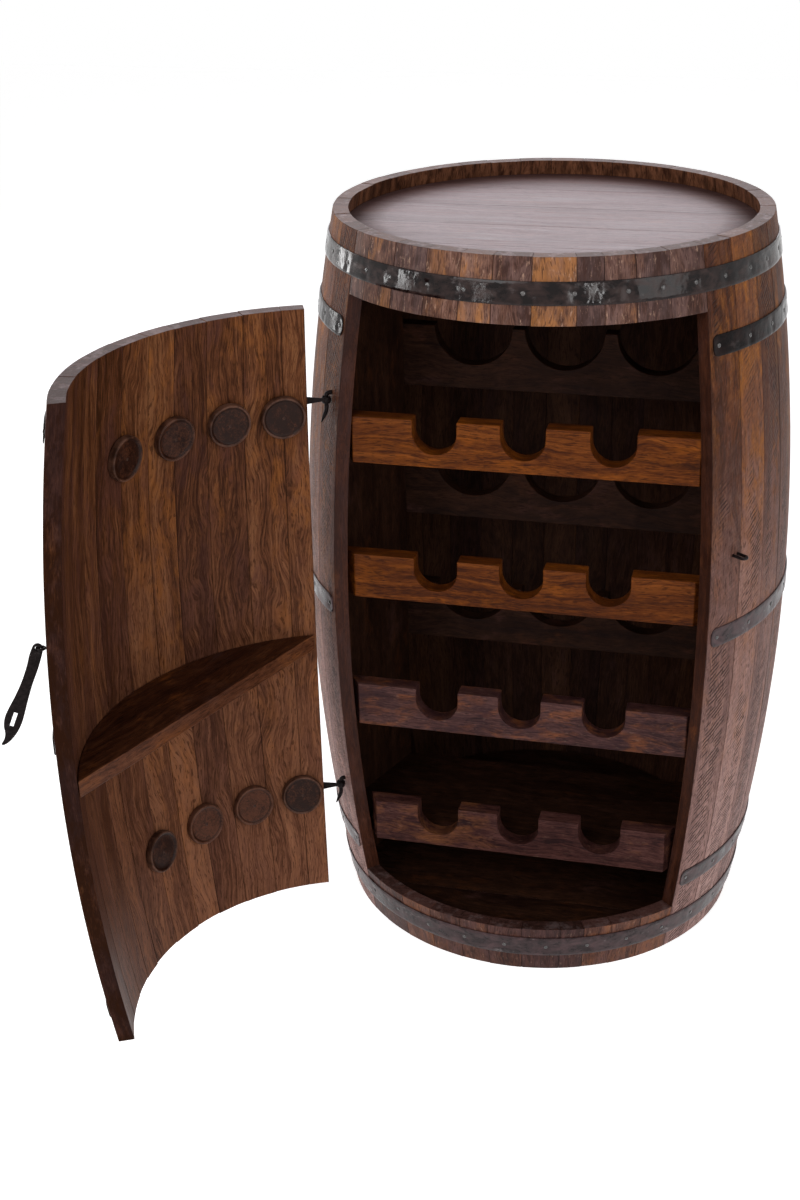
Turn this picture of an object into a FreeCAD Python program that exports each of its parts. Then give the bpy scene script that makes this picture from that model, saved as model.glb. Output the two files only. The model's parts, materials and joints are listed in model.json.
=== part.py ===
import FreeCAD, Part
import Sketcher
import math
import os

# Barrel bar cabinet.
# The origin is on the floor, at the centre of the barrel's base. +Z is up, and the middle of the
# door, when it is shut, faces -Y. An azimuth is counted in degrees from -Y towards +X. The door
# is modelled standing open.

SIZES = {
    # barrel shell
    "barrel_height": 800,
    "bilge_radius": 264.9,
    "end_radius": 226.1,
    "stave_wall": 16,
    "side_stave_count": 28,
    # doorway
    "opening_half_angle": 47.6,
    "sill_height": 60,
    "lintel_height": 62.5,
    # seams between the staves that the doorway was cut from, as shares of its half angle
    "seam_count": 10,
    "seam_share_1": -0.866,
    "seam_share_2": -0.658,
    "seam_share_3": -0.454,
    "seam_share_4": -0.261,
    "seam_share_5": -0.095,
    "seam_share_6": 0.099,
    "seam_share_7": 0.315,
    "seam_share_8": 0.45,
    "seam_share_9": 0.609,
    "seam_share_10": 0.79,
    # heads
    "head_thickness": 18,
    "head_recess": 16,
    "base_recess": 6,
    "head_edge_gap": 1.2,
    "head_board_count": 5,
    "croze_depth": 4.5,
    "croze_clearance": 0.2,
    "croze_overcut": 9,
    "tongue_thickness": 8,
    # hoops: the upper two are measured down from the top, the middle one from half way up
    "hoop_thickness": 1.45,
    "hoop_seat": 0.05,
    "hoop_end_angle": 1,
    "hoop_corner": 7,
    "top_hoop_drop": 22,
    "top_hoop_width": 21.5,
    "upper_hoop_drop": 85.5,
    "upper_hoop_width": 20.5,
    "middle_hoop_offset": 2.5,
    "middle_hoop_width": 21,
    "lower_hoop_low": 87,
    "lower_hoop_width": 22,
    "base_hoop_low": 22,
    "base_hoop_width": 25.5,
    # nails
    "nail_head_radius": 2.4,
    "nail_crown_radius": 1.3,
    "nail_head_height": 0.7,
    "nail_pitch_angle": 11.25,
    "uneven_nail_count": 13,
    "top_nail_azimuth_1": -49.7,
    "top_nail_azimuth_2": -40.6,
    "top_nail_azimuth_3": -32,
    "top_nail_azimuth_4": -20.6,
    "top_nail_azimuth_5": -11.2,
    "top_nail_azimuth_6": 2.8,
    "top_nail_azimuth_7": 14.5,
    "top_nail_azimuth_8": 26.9,
    "top_nail_azimuth_9": 35.5,
    "top_nail_azimuth_10": 44.5,
    "top_nail_azimuth_11": 53.8,
    "top_nail_azimuth_12": 63.8,
    "top_nail_azimuth_13": 73.2,
    "end_nail_angle": 1.7,
    # door
    "door_wall": 16.5,
    "door_side_gap_angle": 0.5,
    "door_low_gap": 2.5,
    "door_high_gap": 5,
    "door_hoop_inset_angle": 1.3,
    "door_open_angle": 110.85,
    # hinges: the axis stands off the staves, beyond the doorway's edge
    "hinge_edge_angle": 4.2,
    "hinge_standoff": 5.5,
    "upper_hinge_drop": 172,
    "lower_hinge_height": 172,
    "hinge_pin_radius": 2.25,
    "hinge_pin_fit": 0.08,
    "hinge_pin_drop": 21,
    "hinge_pin_rise": 6,
    "hinge_bend_radius": 5,
    "hinge_shank_depth": 13,
    "strap_ring_wall": 2.27,
    "strap_width": 8,
    "strap_thickness": 2,
    "strap_seat": 0.3,
    "strap_sweep_angle": 16.8,
    "strap_screw_radius": 2.6,
    "strap_screw_crown_radius": 1.8,
    "strap_screw_share_1": 0.3,
    "strap_screw_share_2": 0.8,
    "strap_screw_height": 1,
    # door shelf
    "door_shelf_top": 366,
    "door_shelf_thickness": 18,
    "door_shelf_bar_gap": 12,
    "door_shelf_side_gap": 1,
    "door_shelf_seat": 0.3,
    "door_shelf_overrun": 1,
    # two rows of discs on the inside of the door, placed by shares of its half angle
    "disc_row_count": 4,
    "upper_disc_drop": 178,
    "lower_disc_height": 175,
    "disc_radius": 22.5,
    "disc_thickness": 7,
    "disc_edge_radius": 1.5,
    "disc_seat": 0.15,
    "disc_share_1": 0.095,
    "disc_share_2": -0.25,
    "disc_share_3": -0.573,
    "disc_share_4": -0.87,
    "disc_screw_radius": 3.4,
    "disc_screw_foot_radius": 2,
    "disc_screw_height": 1.2,
    # hasp
    "hasp_edge_angle": 9.1,
    "hasp_rise": 87,
    "hasp_eye_standoff": 7.2,
    "hasp_eye_radius": 3.3,
    "hasp_wire_radius": 1.2,
    "hasp_shank_depth": 12,
    "sleeve_gap": 0.3,
    "sleeve_wall": 0.6,
    "sleeve_half_angle": 24,
    "hasp_hole_gap": 0.5,
    "hasp_rim": 2.2,
    "hasp_thickness": 2,
    "hasp_lean_angle": 22.4,
    "hasp_waist_reach": 38,
    "hasp_waist_half_width": 3.7,
    "hasp_leaf_reach": 80,
    "hasp_leaf_half_width": 8.2,
    "hasp_tip_reach": 106,
    "hasp_tip_radius": 2,
    "hasp_tip_side": 3,
    "hasp_slot_reach": 78.5,
    "hasp_slot_length": 13,
    "hasp_slot_width": 7,
    "hasp_shut_turn_angle": 97,
    # catch on the barrel
    "catch_leg_spacing": 7.2,
    "catch_wire_radius": 1.6,
    "catch_clear_height": 1.2,
    "catch_leg_depth": 12,
    "wire_hole_gap": 0.05,
    # bottle rack
    "bar_count": 4,
    "rear_bar_count": 3,
    "bottles_across": 3,
    "bar_setback": 158,
    "bar_thickness": 20,
    "bar_height": 50,
    "bar_seat": 0.3,
    "bar_door_gap": 0.6,
    "bar_top_1": 609.8,
    "bar_top_2": 456.3,
    "bar_top_3": 300.6,
    "bar_top_4": 152,
    "neck_pitch": 91,
    "neck_radius": 23,
    "neck_depth": 36,
    "rear_bar_front": 15,
    "rear_bar_thickness": 18,
    "rear_bar_height": 70,
    "rear_bar_drop": 22,
    "cradle_pitch": 100,
    "cradle_radius": 43,
    "rear_shift": 14,
    "panel_half_gap": 178,
    "panel_thickness": 12,
    "panel_slant_angle": 19.9,
    "panel_top": 700,
    "shelf_top": 115,
    "shelf_thickness": 16,
    "shelf_gap": 0.3,
}

document = FreeCAD.newDocument("BarrelCabinet")
sheet = document.addObject("Spreadsheet::Sheet", "Sizes")
for row, (alias, number) in enumerate(SIZES.items(), start=1):
    sheet.set("A%d" % row, alias)
    sheet.set("B%d" % row, str(number))
    sheet.setAlias("B%d" % row, alias)
document.recompute()

OUTWARD = FreeCAD.Vector(1, 0, 0)
SIDEWAYS = FreeCAD.Vector(0, 1, 0)
UP = FreeCAD.Vector(0, 0, 1)
CENTRE = FreeCAD.Vector(0, 0, 0)
sub_parts = []


def sized(alias):
    """The name of a driving dimension, as it is written in an expression."""
    return "Sizes." + alias


def value(text):
    """The number that an expression stands for now."""
    return float(sheet.evalExpression(text))


def size(alias):
    return float(sheet.get(alias))


# ---------------------------------------------------------------- the barrel's curve

# The stave's outer face is an arc: the bilge is its widest point, half way up.
HALF_HEIGHT = "(%s / 2)" % sized("barrel_height")
SWELL = "(%s - %s)" % (sized("bilge_radius"), sized("end_radius"))
ARC_RADIUS = "((%s^2 + %s^2) / (2 * %s))" % (HALF_HEIGHT, SWELL, SWELL)
ARC_CENTRE = "(%s - %s)" % (sized("bilge_radius"), ARC_RADIUS)
INNER_FACE = "(-%s)" % sized("stave_wall")
DOOR_INNER_FACE = "(-%s)" % sized("door_wall")


def radius_at(height, offset="0"):
    """The radius of the barrel at a height, that far outside the staves' outer face."""
    return "(%s + sqrt((%s + %s)^2 - (%s - %s)^2))" % (
        ARC_CENTRE, ARC_RADIUS, offset, height, HALF_HEIGHT)


def rise_angle(height):
    """How far the outward normal of the shell points up at a height."""
    return math.asin((height - value(HALF_HEIGHT)) / value(ARC_RADIUS))


# ---------------------------------------------------------------- doorway, hinges and hasp

OPENING_LOW = sized("sill_height")
OPENING_HIGH = "(%s - %s)" % (sized("barrel_height"), sized("lintel_height"))
OPENING_EDGE = sized("opening_half_angle")
DOOR_EDGE = "(%s - %s)" % (OPENING_EDGE, sized("door_side_gap_angle"))
DOOR_LOW = "(%s + %s)" % (OPENING_LOW, sized("door_low_gap"))
DOOR_HIGH = "(%s - %s)" % (OPENING_HIGH, sized("door_high_gap"))
HINGE_AZIMUTH = "(-%s - %s)" % (OPENING_EDGE, sized("hinge_edge_angle"))
UPPER_HINGE = "(%s - %s)" % (sized("barrel_height"), sized("upper_hinge_drop"))
LOWER_HINGE = sized("lower_hinge_height")
HINGE_HEIGHTS = {"upper": UPPER_HINGE, "lower": LOWER_HINGE}
HINGE_RADIUS = "(%s + %s)" % (radius_at(UPPER_HINGE), sized("hinge_standoff"))
HASP_AZIMUTH = "(%s - %s)" % (DOOR_EDGE, sized("hasp_edge_angle"))
HASP_HEIGHT = "(%s + %s)" % (HALF_HEIGHT, sized("hasp_rise"))


# ---------------------------------------------------------------- placements

def upright(azimuth, radius, height):
    """A place off the barrel's axis: local X points outward, Y to greater azimuth, Z up."""
    turned = FreeCAD.Rotation(UP, azimuth - 90)
    base = turned.multVec(FreeCAD.Vector(radius, 0, height))
    return FreeCAD.Placement(base, turned)


def on_shell(azimuth, height, offset):
    """A place on the shell: local Z is its outward normal and local Y points to greater azimuth."""
    rise = rise_angle(height)
    reach = value(ARC_RADIUS) + offset
    place = upright(azimuth, value(ARC_CENTRE) + reach * math.cos(rise),
                    value(HALF_HEIGHT) + reach * math.sin(rise))
    tilt = FreeCAD.Rotation(SIDEWAYS, 90 - math.degrees(rise))
    return place.multiply(FreeCAD.Placement(CENTRE, tilt))


def door_swing():
    """Carries a piece from the shut door to the door standing open."""
    axis = upright(value(HINGE_AZIMUTH), value(HINGE_RADIUS), 0).Base
    turned = FreeCAD.Rotation(UP, -size("door_open_angle"))
    return FreeCAD.Placement(axis, turned).multiply(FreeCAD.Placement(-axis, FreeCAD.Rotation()))


# ---------------------------------------------------------------- document helpers

def finish(piece, label, place=None):
    """Names a sub-part, puts it in its place and keeps it for writing."""
    piece.Label = label
    if place is not None:
        piece.Placement = place.multiply(piece.Placement)
    sub_parts.append(piece)
    return piece


def new_body(name):
    return document.addObject("PartDesign::Body", name)


def origin_feature(body, role):
    for feature in body.Origin.OriginFeatures:
        if feature.Role == role:
            return feature


def new_sketch(body, plane, name, offset=None):
    """A sketch on one of the body's origin planes, or that far along the plane's normal."""
    sketch = body.newObject("Sketcher::SketchObject", name)
    sketch.AttachmentSupport = [(origin_feature(body, plane), "")]
    sketch.MapMode = "FlatFace"
    if offset is not None:
        sketch.setExpression("AttachmentOffset.Base.z", offset)
    return sketch


def bind(sketch, kind, *items):
    """Adds a constraint whose value is an expression, given last."""
    expression = items[-1]
    index = sketch.addConstraint(Sketcher.Constraint(kind, *items[:-1], value(expression)))
    sketch.setExpression("Constraints[%d]" % index, expression)


def tie_corners(sketch, count):
    """Joins the end of each edge to the start of the next one."""
    for edge in range(count):
        sketch.addConstraint(Sketcher.Constraint("Coincident", edge, 2, (edge + 1) % count, 1))


def outline(sketch, points):
    """A closed outline of straight edges. Each point is a pair of expressions."""
    first = sketch.GeometryCount
    corners = [FreeCAD.Vector(value(x), value(y), 0) for x, y in points]
    count = len(corners)
    for index in range(count):
        sketch.addGeometry(Part.LineSegment(corners[index], corners[(index + 1) % count]))
    for index in range(count):
        following = first + (index + 1) % count
        sketch.addConstraint(Sketcher.Constraint("Coincident", first + index, 2, following, 1))
    for index, (x, y) in enumerate(points):
        bind(sketch, "DistanceX", -1, 1, first + index, 1, x)
        bind(sketch, "DistanceY", -1, 1, first + index, 1, y)


def circle(sketch, x, y, radius):
    centre = FreeCAD.Vector(value(x), value(y), 0)
    edge = sketch.addGeometry(Part.Circle(centre, UP, value(radius)))
    bind(sketch, "DistanceX", -1, 1, edge, 3, x)
    bind(sketch, "DistanceY", -1, 1, edge, 3, y)
    bind(sketch, "Radius", edge, radius)


def turned_feature(body, kind, name, sketch, angle="360"):
    """A revolution or a groove about the body's upright axis."""
    feature = body.newObject(kind, name)
    feature.Profile = sketch
    feature.ReferenceAxis = (origin_feature(body, "Z_Axis"), [""])
    feature.setExpression("Angle", angle)
    return feature


def padded(body, name, sketch, length, reverse=False):
    pad = body.newObject("PartDesign::Pad", name)
    pad.Profile = sketch
    pad.Reversed = reverse
    pad.setExpression("Length", length)
    return pad


def cut_through(body, name, sketch):
    pocket = body.newObject("PartDesign::Pocket", name)
    pocket.Profile = sketch
    pocket.Type = "ThroughAll"
    pocket.Midplane = True
    return pocket


def combined(kind, name, base, tool):
    """A boolean of two objects: Part::Common, Part::Cut or Part::Fuse."""
    result = document.addObject(kind, name)
    result.Base = base
    result.Tool = tool
    return result


def compound(name, pieces):
    group = document.addObject("Part::Compound", name)
    group.Links = pieces
    return group


def cylinder(name, radius, height, place):
    rod = document.addObject("Part::Cylinder", name)
    rod.setExpression("Radius", radius)
    rod.setExpression("Height", height)
    rod.Placement = place
    return rod


# ---------------------------------------------------------------- bands of the shell

def band_sketch(body, name, low, high, outside, inside):
    """The upright section of a band of the shell between two heights and two offsets."""
    sketch = new_sketch(body, "XZ_Plane", name)
    centre = FreeCAD.Vector(value(ARC_CENTRE), value(HALF_HEIGHT), 0)
    low_number, high_number = value(low), value(high)

    def end_angle(offset, height):
        return math.asin((height - centre.y) / (value(ARC_RADIUS) + value(offset)))

    def arc(offset):
        ring = Part.Circle(centre, UP, value(ARC_RADIUS) + value(offset))
        return Part.ArcOfCircle(ring, end_angle(offset, low_number), end_angle(offset, high_number))

    outer = arc(outside)
    inner = arc(inside)
    sketch.addGeometry(outer)
    sketch.addGeometry(inner)
    sketch.addGeometry(Part.LineSegment(outer.EndPoint, inner.EndPoint))
    sketch.addGeometry(Part.LineSegment(inner.StartPoint, outer.StartPoint))
    for first, first_end, second, second_end in ((0, 2, 2, 1), (1, 2, 2, 2), (1, 1, 3, 1), (0, 1, 3, 2)):
        sketch.addConstraint(
            Sketcher.Constraint("Coincident", first, first_end, second, second_end))
    sketch.addConstraint(Sketcher.Constraint("Coincident", 0, 3, 1, 3))
    sketch.addConstraint(Sketcher.Constraint("Horizontal", 2))
    sketch.addConstraint(Sketcher.Constraint("Horizontal", 3))
    bind(sketch, "DistanceX", -1, 1, 0, 3, ARC_CENTRE)
    bind(sketch, "DistanceY", -1, 1, 0, 3, HALF_HEIGHT)
    bind(sketch, "Radius", 0, "%s + %s" % (ARC_RADIUS, outside))
    bind(sketch, "Radius", 1, "%s + %s" % (ARC_RADIUS, inside))
    bind(sketch, "DistanceY", -1, 1, 2, 1, high)
    bind(sketch, "DistanceY", -1, 1, 3, 1, low)
    return sketch


def band(name, low, high, outside, inside, start, end):
    """A band of the shell between two azimuths, as a body of its own."""
    body = new_body(name)
    sketch = band_sketch(body, name + "_section", low, high, outside, inside)
    turned_feature(body, "PartDesign::Revolution", name + "_turn", sketch, "%s - %s" % (end, start))
    body.setExpression(".Placement.Rotation.Angle", "%s - 90" % start)
    return body


def cut_croze(body, name, tongue_low):
    """The groove round the inside of a stave that holds a head's tongue."""
    low = "(%s - %s)" % (tongue_low, sized("croze_clearance"))
    high = "(%s + %s + %s)" % (tongue_low, sized("tongue_thickness"), sized("croze_clearance"))
    floor = "(%s + %s)" % (tongue_radius(tongue_low), sized("croze_clearance"))
    within = "(%s - %s - %s)" % (floor, sized("croze_depth"), sized("croze_overcut"))
    sketch = new_sketch(body, "XZ_Plane", name + "_section")
    outline(sketch, [(within, low), (floor, low), (floor, high), (within, high)])
    turned_feature(body, "PartDesign::Groove", name, sketch)


def tongue_radius(tongue_low):
    middle = "(%s + %s / 2)" % (tongue_low, sized("tongue_thickness"))
    inner = radius_at(middle, INNER_FACE)
    return "(%s + %s - %s)" % (inner, sized("croze_depth"), sized("croze_clearance"))


HEAD_TOP = "(%s - %s)" % (sized("barrel_height"), sized("head_recess"))
HEAD_LOW = "(%s - %s)" % (HEAD_TOP, sized("head_thickness"))
BASE_LOW = sized("base_recess")
BASE_TOP = "(%s + %s)" % (BASE_LOW, sized("head_thickness"))
TONGUE_INSET = "((%s - %s) / 2)" % (sized("head_thickness"), sized("tongue_thickness"))
TOP_TONGUE = "(%s + %s)" % (HEAD_LOW, TONGUE_INSET)
BASE_TONGUE = "(%s + %s)" % (BASE_LOW, TONGUE_INSET)


# ---------------------------------------------------------------- staves

def bore(piece, name, radius, length, place):
    """A round hole in a finished stave, along local Z from the place given."""
    return combined("Part::Cut", name, piece, cylinder(name + "_drill", radius, length, place))


def side_staves():
    """The full-height staves from one edge of the doorway round the back to the other edge."""
    count = int(size("side_stave_count"))
    width = "((360 - 2 * %s) / %s)" % (sized("opening_half_angle"), sized("side_stave_count"))
    staves = []
    for index in range(count):
        name = "side_stave_%02d" % (index + 1)
        start = "(%s + %d * %s)" % (sized("opening_half_angle"), index, width)
        end = "(%s + %s)" % (start, width)
        body = band(name, "0", sized("barrel_height"), "0", INNER_FACE, start, end)
        cut_croze(body, name + "_top_croze", TOP_TONGUE)
        cut_croze(body, name + "_base_croze", BASE_TONGUE)
        staves.append(body)
    staves = drill_hinge_holes(staves, value(width))
    staves = drill_catch_holes(staves, value(width))
    quarter = count // 4
    names = ("staves_right", "staves_back_right", "staves_back_left")
    for index, name in enumerate(names):
        finish(compound(name, staves[index * quarter:(index + 1) * quarter]), name)
    finish(compound("staves_left", staves[len(names) * quarter:]), "staves_left")


def stave_index(azimuth, width):
    return int(((azimuth % 360) - size("opening_half_angle")) // width)


def drill_hinge_holes(staves, width):
    """Holes that the hinge hooks' shanks are driven into."""
    index = stave_index(value(HINGE_AZIMUTH), width)
    radius = "%s + %s" % (sized("hinge_pin_radius"), sized("wire_hole_gap"))
    for name, hinge_height in HINGE_HEIGHTS.items():
        place = upright(value(HINGE_AZIMUTH), value(HINGE_RADIUS), value(hinge_height) + hook_rise())
        inward = FreeCAD.Placement(CENTRE, FreeCAD.Rotation(SIDEWAYS, -90))
        length = "%s + %s + %s" % (
            sized("hinge_bend_radius"), hook_shank_length(name), sized("wire_hole_gap"))
        drilled = bore(staves[index], "hinge_hole_" + name, radius, length, place.multiply(inward))
        staves[index] = drilled
    return staves


def drill_catch_holes(staves, width):
    """Holes that the catch's two legs are driven into."""
    index = stave_index(catch_azimuth(), width)
    radius = "%s + %s" % (sized("catch_wire_radius"), sized("wire_hole_gap"))
    for side in (-1, 1):
        place = catch_place().multiply(FreeCAD.Placement(
            FreeCAD.Vector(0, side * size("catch_leg_spacing") / 2, 0),
            FreeCAD.Rotation(SIDEWAYS, -90)))
        name = "catch_hole_left" if side < 0 else "catch_hole_right"
        length = "%s + %s" % (sized("catch_leg_depth"), sized("wire_hole_gap"))
        staves[index] = bore(staves[index], name, radius, length, place)
    return staves


def opening_edges(half_angle):
    """Azimuths of the seams across the doorway, with its two edges."""
    shares = [sized("seam_share_%d" % (number + 1)) for number in range(int(size("seam_count")))]
    seams = ["(%s * %s)" % (share, OPENING_EDGE) for share in shares]
    return ["(-%s)" % half_angle] + seams + [half_angle]


def cut_staves(name, low, high, tongue_low):
    """The short staves left above or below the doorway."""
    edges = opening_edges(OPENING_EDGE)
    staves = []
    for index in range(len(edges) - 1):
        piece = "%s_%02d" % (name, index + 1)
        body = band(piece, low, high, "0", INNER_FACE, edges[index], edges[index + 1])
        cut_croze(body, piece + "_croze", tongue_low)
        staves.append(body)
    finish(compound(name, staves), name)


# ---------------------------------------------------------------- heads

def head(name, low, high, tongue_low, face):
    """A round head of boards laid side to side, with a tongue round its edge for the croze."""
    blank = new_body(name + "_blank")
    sketch = new_sketch(blank, "XZ_Plane", name + "_section")
    tongue_high = "(%s + %s)" % (tongue_low, sized("tongue_thickness"))
    reach = tongue_radius(tongue_low)
    outline(sketch, [
        ("0", low), (face, low), (face, tongue_low), (reach, tongue_low),
        (reach, tongue_high), (face, tongue_high), (face, high), ("0", high)])
    turned_feature(blank, "PartDesign::Revolution", name + "_turn", sketch)
    count = int(size("head_board_count"))
    width = "(2 * %s / %s)" % (reach, sized("head_board_count"))
    boards = []
    for index in range(count):
        strip = document.addObject("Part::Box", "%s_strip_%d" % (name, index + 1))
        strip.setExpression("Length", "2 * %s" % reach)
        strip.setExpression("Width", width)
        strip.setExpression("Height", sized("head_thickness"))
        strip.setExpression("Placement.Base.x", "-%s" % reach)
        strip.setExpression("Placement.Base.y", "%d * %s - %s" % (index, width, reach))
        strip.setExpression("Placement.Base.z", low)
        boards.append(combined("Part::Common", "%s_board_%d" % (name, index + 1), blank, strip))
    finish(compound(name, boards), name)


def heads():
    def face(height):
        return "(%s - %s)" % (radius_at(height, INNER_FACE), sized("head_edge_gap"))

    head("top_head", HEAD_LOW, HEAD_TOP, TOP_TONGUE, face(HEAD_TOP))
    head("base_head", BASE_LOW, BASE_TOP, BASE_TONGUE, face(BASE_LOW))


# ---------------------------------------------------------------- hoops and their nails

HOOP_INNER = sized("hoop_seat")
HOOP_OUTER = "(%s + %s)" % (sized("hoop_seat"), sized("hoop_thickness"))


def corner_edges(shape):
    """Names of the straight edges through the band's thickness, at the corners of its ends."""
    return ["Edge%d" % index for index, edge in enumerate(shape.Edges, start=1)
            if isinstance(edge.Curve, Part.Line)]


def hoop(name, low, high, start=None, end=None):
    """An iron band: a whole ring, or a length of one with its corners rounded."""
    if start is None:
        return band(name, low, high, HOOP_OUTER, HOOP_INNER, "0", "360")
    body = band(name, low, high, HOOP_OUTER, HOOP_INNER, start, end)
    document.recompute()
    turned = body.Tip
    rounding = body.newObject("PartDesign::Fillet", name + "_corners")
    rounding.Base = (turned, corner_edges(turned.Shape))
    rounding.setExpression("Radius", sized("hoop_corner"))
    return body


def hoop_heights(name):
    """The lower and upper edge of a hoop."""
    width = sized(name + "_hoop_width")
    if name in ("top", "upper"):
        high = "(%s - %s)" % (sized("barrel_height"), sized(name + "_hoop_drop"))
        return "(%s - %s)" % (high, width), high
    if name == "middle":
        middle = "(%s + %s)" % (HALF_HEIGHT, sized("middle_hoop_offset"))
        return "(%s - %s / 2)" % (middle, width), "(%s + %s / 2)" % (middle, width)
    low = sized(name + "_hoop_low")
    return low, "(%s + %s)" % (low, width)


def nail(name, azimuth, height):
    """The head of a nail on a hoop."""
    head_piece = document.addObject("Part::Cone", name)
    head_piece.setExpression("Radius1", sized("nail_head_radius"))
    head_piece.setExpression("Radius2", sized("nail_crown_radius"))
    head_piece.setExpression("Height", sized("nail_head_height"))
    head_piece.Placement = on_shell(azimuth, height, value(HOOP_OUTER) + size("hoop_seat"))
    return head_piece


def nail_row(name, hoop_name, start, end):
    """Nails along the middle of a hoop, from one azimuth to another, about a pitch apart."""
    low, high = hoop_heights(hoop_name)
    height = (value(low) + value(high)) / 2
    steps = max(1, round((end - start) / size("nail_pitch_angle")))
    return [nail("%s_%02d" % (name, step + 1), start + (end - start) * step / steps, height)
            for step in range(steps + 1)]


def top_nails():
    """The top hoop's nails: unevenly spaced across the front, then a pitch apart."""
    count = int(size("uneven_nail_count"))
    azimuths = [size("top_nail_azimuth_%d" % (number + 1)) for number in range(count)]
    low, high = hoop_heights("top")
    height = (value(low) + value(high)) / 2
    nails = [nail("front_nail_%02d" % (number + 1), azimuth, height)
             for number, azimuth in enumerate(azimuths)]
    start = azimuths[-1] + size("nail_pitch_angle")
    end = 360 + azimuths[0] - size("nail_pitch_angle")
    return nails + nail_row("top_nail", "top", start, end)


def hoops():
    edge = "(%s + %s)" % (OPENING_EDGE, sized("hoop_end_angle"))
    for name in ("top", "base"):
        low, high = hoop_heights(name)
        finish(hoop(name + "_hoop", low, high), name + "_hoop")
    for name in ("upper", "middle", "lower"):
        low, high = hoop_heights(name)
        finish(hoop(name + "_hoop", low, high, edge, "(360 - %s)" % edge), name + "_hoop")
    first = value(edge) + size("end_nail_angle")
    nails = top_nails() + nail_row("base_nail", "base", 0, 360 - size("nail_pitch_angle"))
    for name in ("upper", "middle", "lower"):
        nails += nail_row(name + "_nail", name, first, 360 - first)
    finish(compound("hoop_nails", nails), "hoop_nails")


# ---------------------------------------------------------------- door

def door_staves():
    edges = opening_edges(DOOR_EDGE)
    for index in range(len(edges) - 1):
        name = "door_stave_%02d" % (index + 1)
        stave = band(name + "_body", DOOR_LOW, DOOR_HIGH, "0", DOOR_INNER_FACE,
                     edges[index], edges[index + 1])
        document.recompute()
        if value(edges[index]) < value(HASP_AZIMUTH) < value(edges[index + 1]):
            place = hasp_place().multiply(FreeCAD.Placement(
                CENTRE, FreeCAD.Rotation(SIDEWAYS, -90)))
            radius = "%s + %s" % (sized("hasp_wire_radius"), sized("wire_hole_gap"))
            length = "%s + %s + %s" % (
                sized("hasp_eye_standoff"), sized("hasp_shank_depth"), sized("wire_hole_gap"))
            stave = bore(stave, "hasp_hole", radius, length, place)
        finish(compound(name, [stave]), name, door_swing())


def door_hoops():
    edge = "(%s - %s)" % (DOOR_EDGE, sized("door_hoop_inset_angle"))
    nails = []
    last = value(edge) - size("end_nail_angle")
    for name in ("upper", "middle", "lower"):
        low, high = hoop_heights(name)
        strip = hoop("door_%s_strip" % name, low, high, "(-%s)" % edge, edge)
        document.recompute()
        finish(compound("door_%s_hoop" % name, [strip]), "door_%s_hoop" % name, door_swing())
        nails += nail_row("door_%s_nail" % name, name, -last, last)
    finish(compound("door_nails", nails), "door_nails", door_swing())


def door_shelf():
    """A shelf whose back follows the door's inside and whose front is straight."""
    top = sized("door_shelf_top")
    low = "(%s - %s)" % (top, sized("door_shelf_thickness"))
    seat = "(%s - %s)" % (DOOR_INNER_FACE, sized("door_shelf_seat"))
    blank = new_body("door_shelf_blank")
    sketch = new_sketch(blank, "XY_Plane", "door_shelf_outline", low)
    reach = sized("bilge_radius")
    clear_of_bars = "%s + %s" % (sized("bar_setback"), sized("door_shelf_bar_gap"))
    within_door = "%s * cos(%s) + %s" % (
        radius_at(top, seat), DOOR_EDGE, sized("door_shelf_side_gap"))
    front = "(-max(%s; %s))" % (clear_of_bars, within_door)
    outline(sketch, [("(-%s)" % reach, "(-%s)" % reach), (reach, "(-%s)" % reach),
                     (reach, front), ("(-%s)" % reach, front)])
    padded(blank, "door_shelf_pad", sketch, sized("door_shelf_thickness"))
    overrun = sized("door_shelf_overrun")
    limit = inside_of_shell(
        "door_shelf_limit", "(%s - %s)" % (low, overrun), "(%s + %s)" % (top, overrun), seat)
    shelf = combined("Part::Common", "door_shelf", blank, limit)
    document.recompute()
    finish(shelf, "door_shelf", door_swing())


def disc(name):
    """A flat round disc with a softened edge. Its face to the door is at z = 0."""
    body = new_body(name)
    sketch = new_sketch(body, "XY_Plane", name + "_outline")
    circle(sketch, "0", "0", sized("disc_radius"))
    pad = padded(body, name + "_pad", sketch, sized("disc_thickness"), reverse=True)
    document.recompute()
    rounding = body.newObject("PartDesign::Fillet", name + "_edge")
    lowest = [index for index, edge in enumerate(pad.Shape.Edges, start=1)
              if edge.BoundBox.ZMax < -size("disc_thickness") / 2]
    rounding.Base = (pad, ["Edge%d" % index for index in lowest])
    rounding.setExpression("Radius", sized("disc_edge_radius"))
    return body


def door_discs():
    """Two rows of discs on the inside of the door, each held by a screw."""
    screws = []
    number = 0
    for height in (size("barrel_height") - size("upper_disc_drop"), size("lower_disc_height")):
        for place_number in range(int(size("disc_row_count"))):
            number += 1
            azimuth = size("disc_share_%d" % (place_number + 1)) * value(DOOR_EDGE)
            inner_radius = value(radius_at(str(height), DOOR_INNER_FACE))
            sag = inner_radius - math.sqrt(inner_radius ** 2 - size("disc_radius") ** 2)
            depth = size("door_wall") + sag + size("disc_seat")
            piece = disc("disc_body_%02d" % number)
            piece.Placement = on_shell(azimuth, height, -depth)
            finish(piece, "door_disc_%02d" % number, door_swing())
            screw = document.addObject("Part::Cone", "disc_screw_%02d" % number)
            screw.setExpression("Radius1", sized("disc_screw_foot_radius"))
            screw.setExpression("Radius2", sized("disc_screw_radius"))
            screw.setExpression("Height", sized("disc_screw_height"))
            outer = depth + size("disc_thickness") + size("disc_screw_height")
            screw.Placement = on_shell(azimuth, height, -outer)
            screws.append(screw)
    finish(compound("disc_screws", screws), "disc_screws", door_swing())


# ---------------------------------------------------------------- hinges

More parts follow.
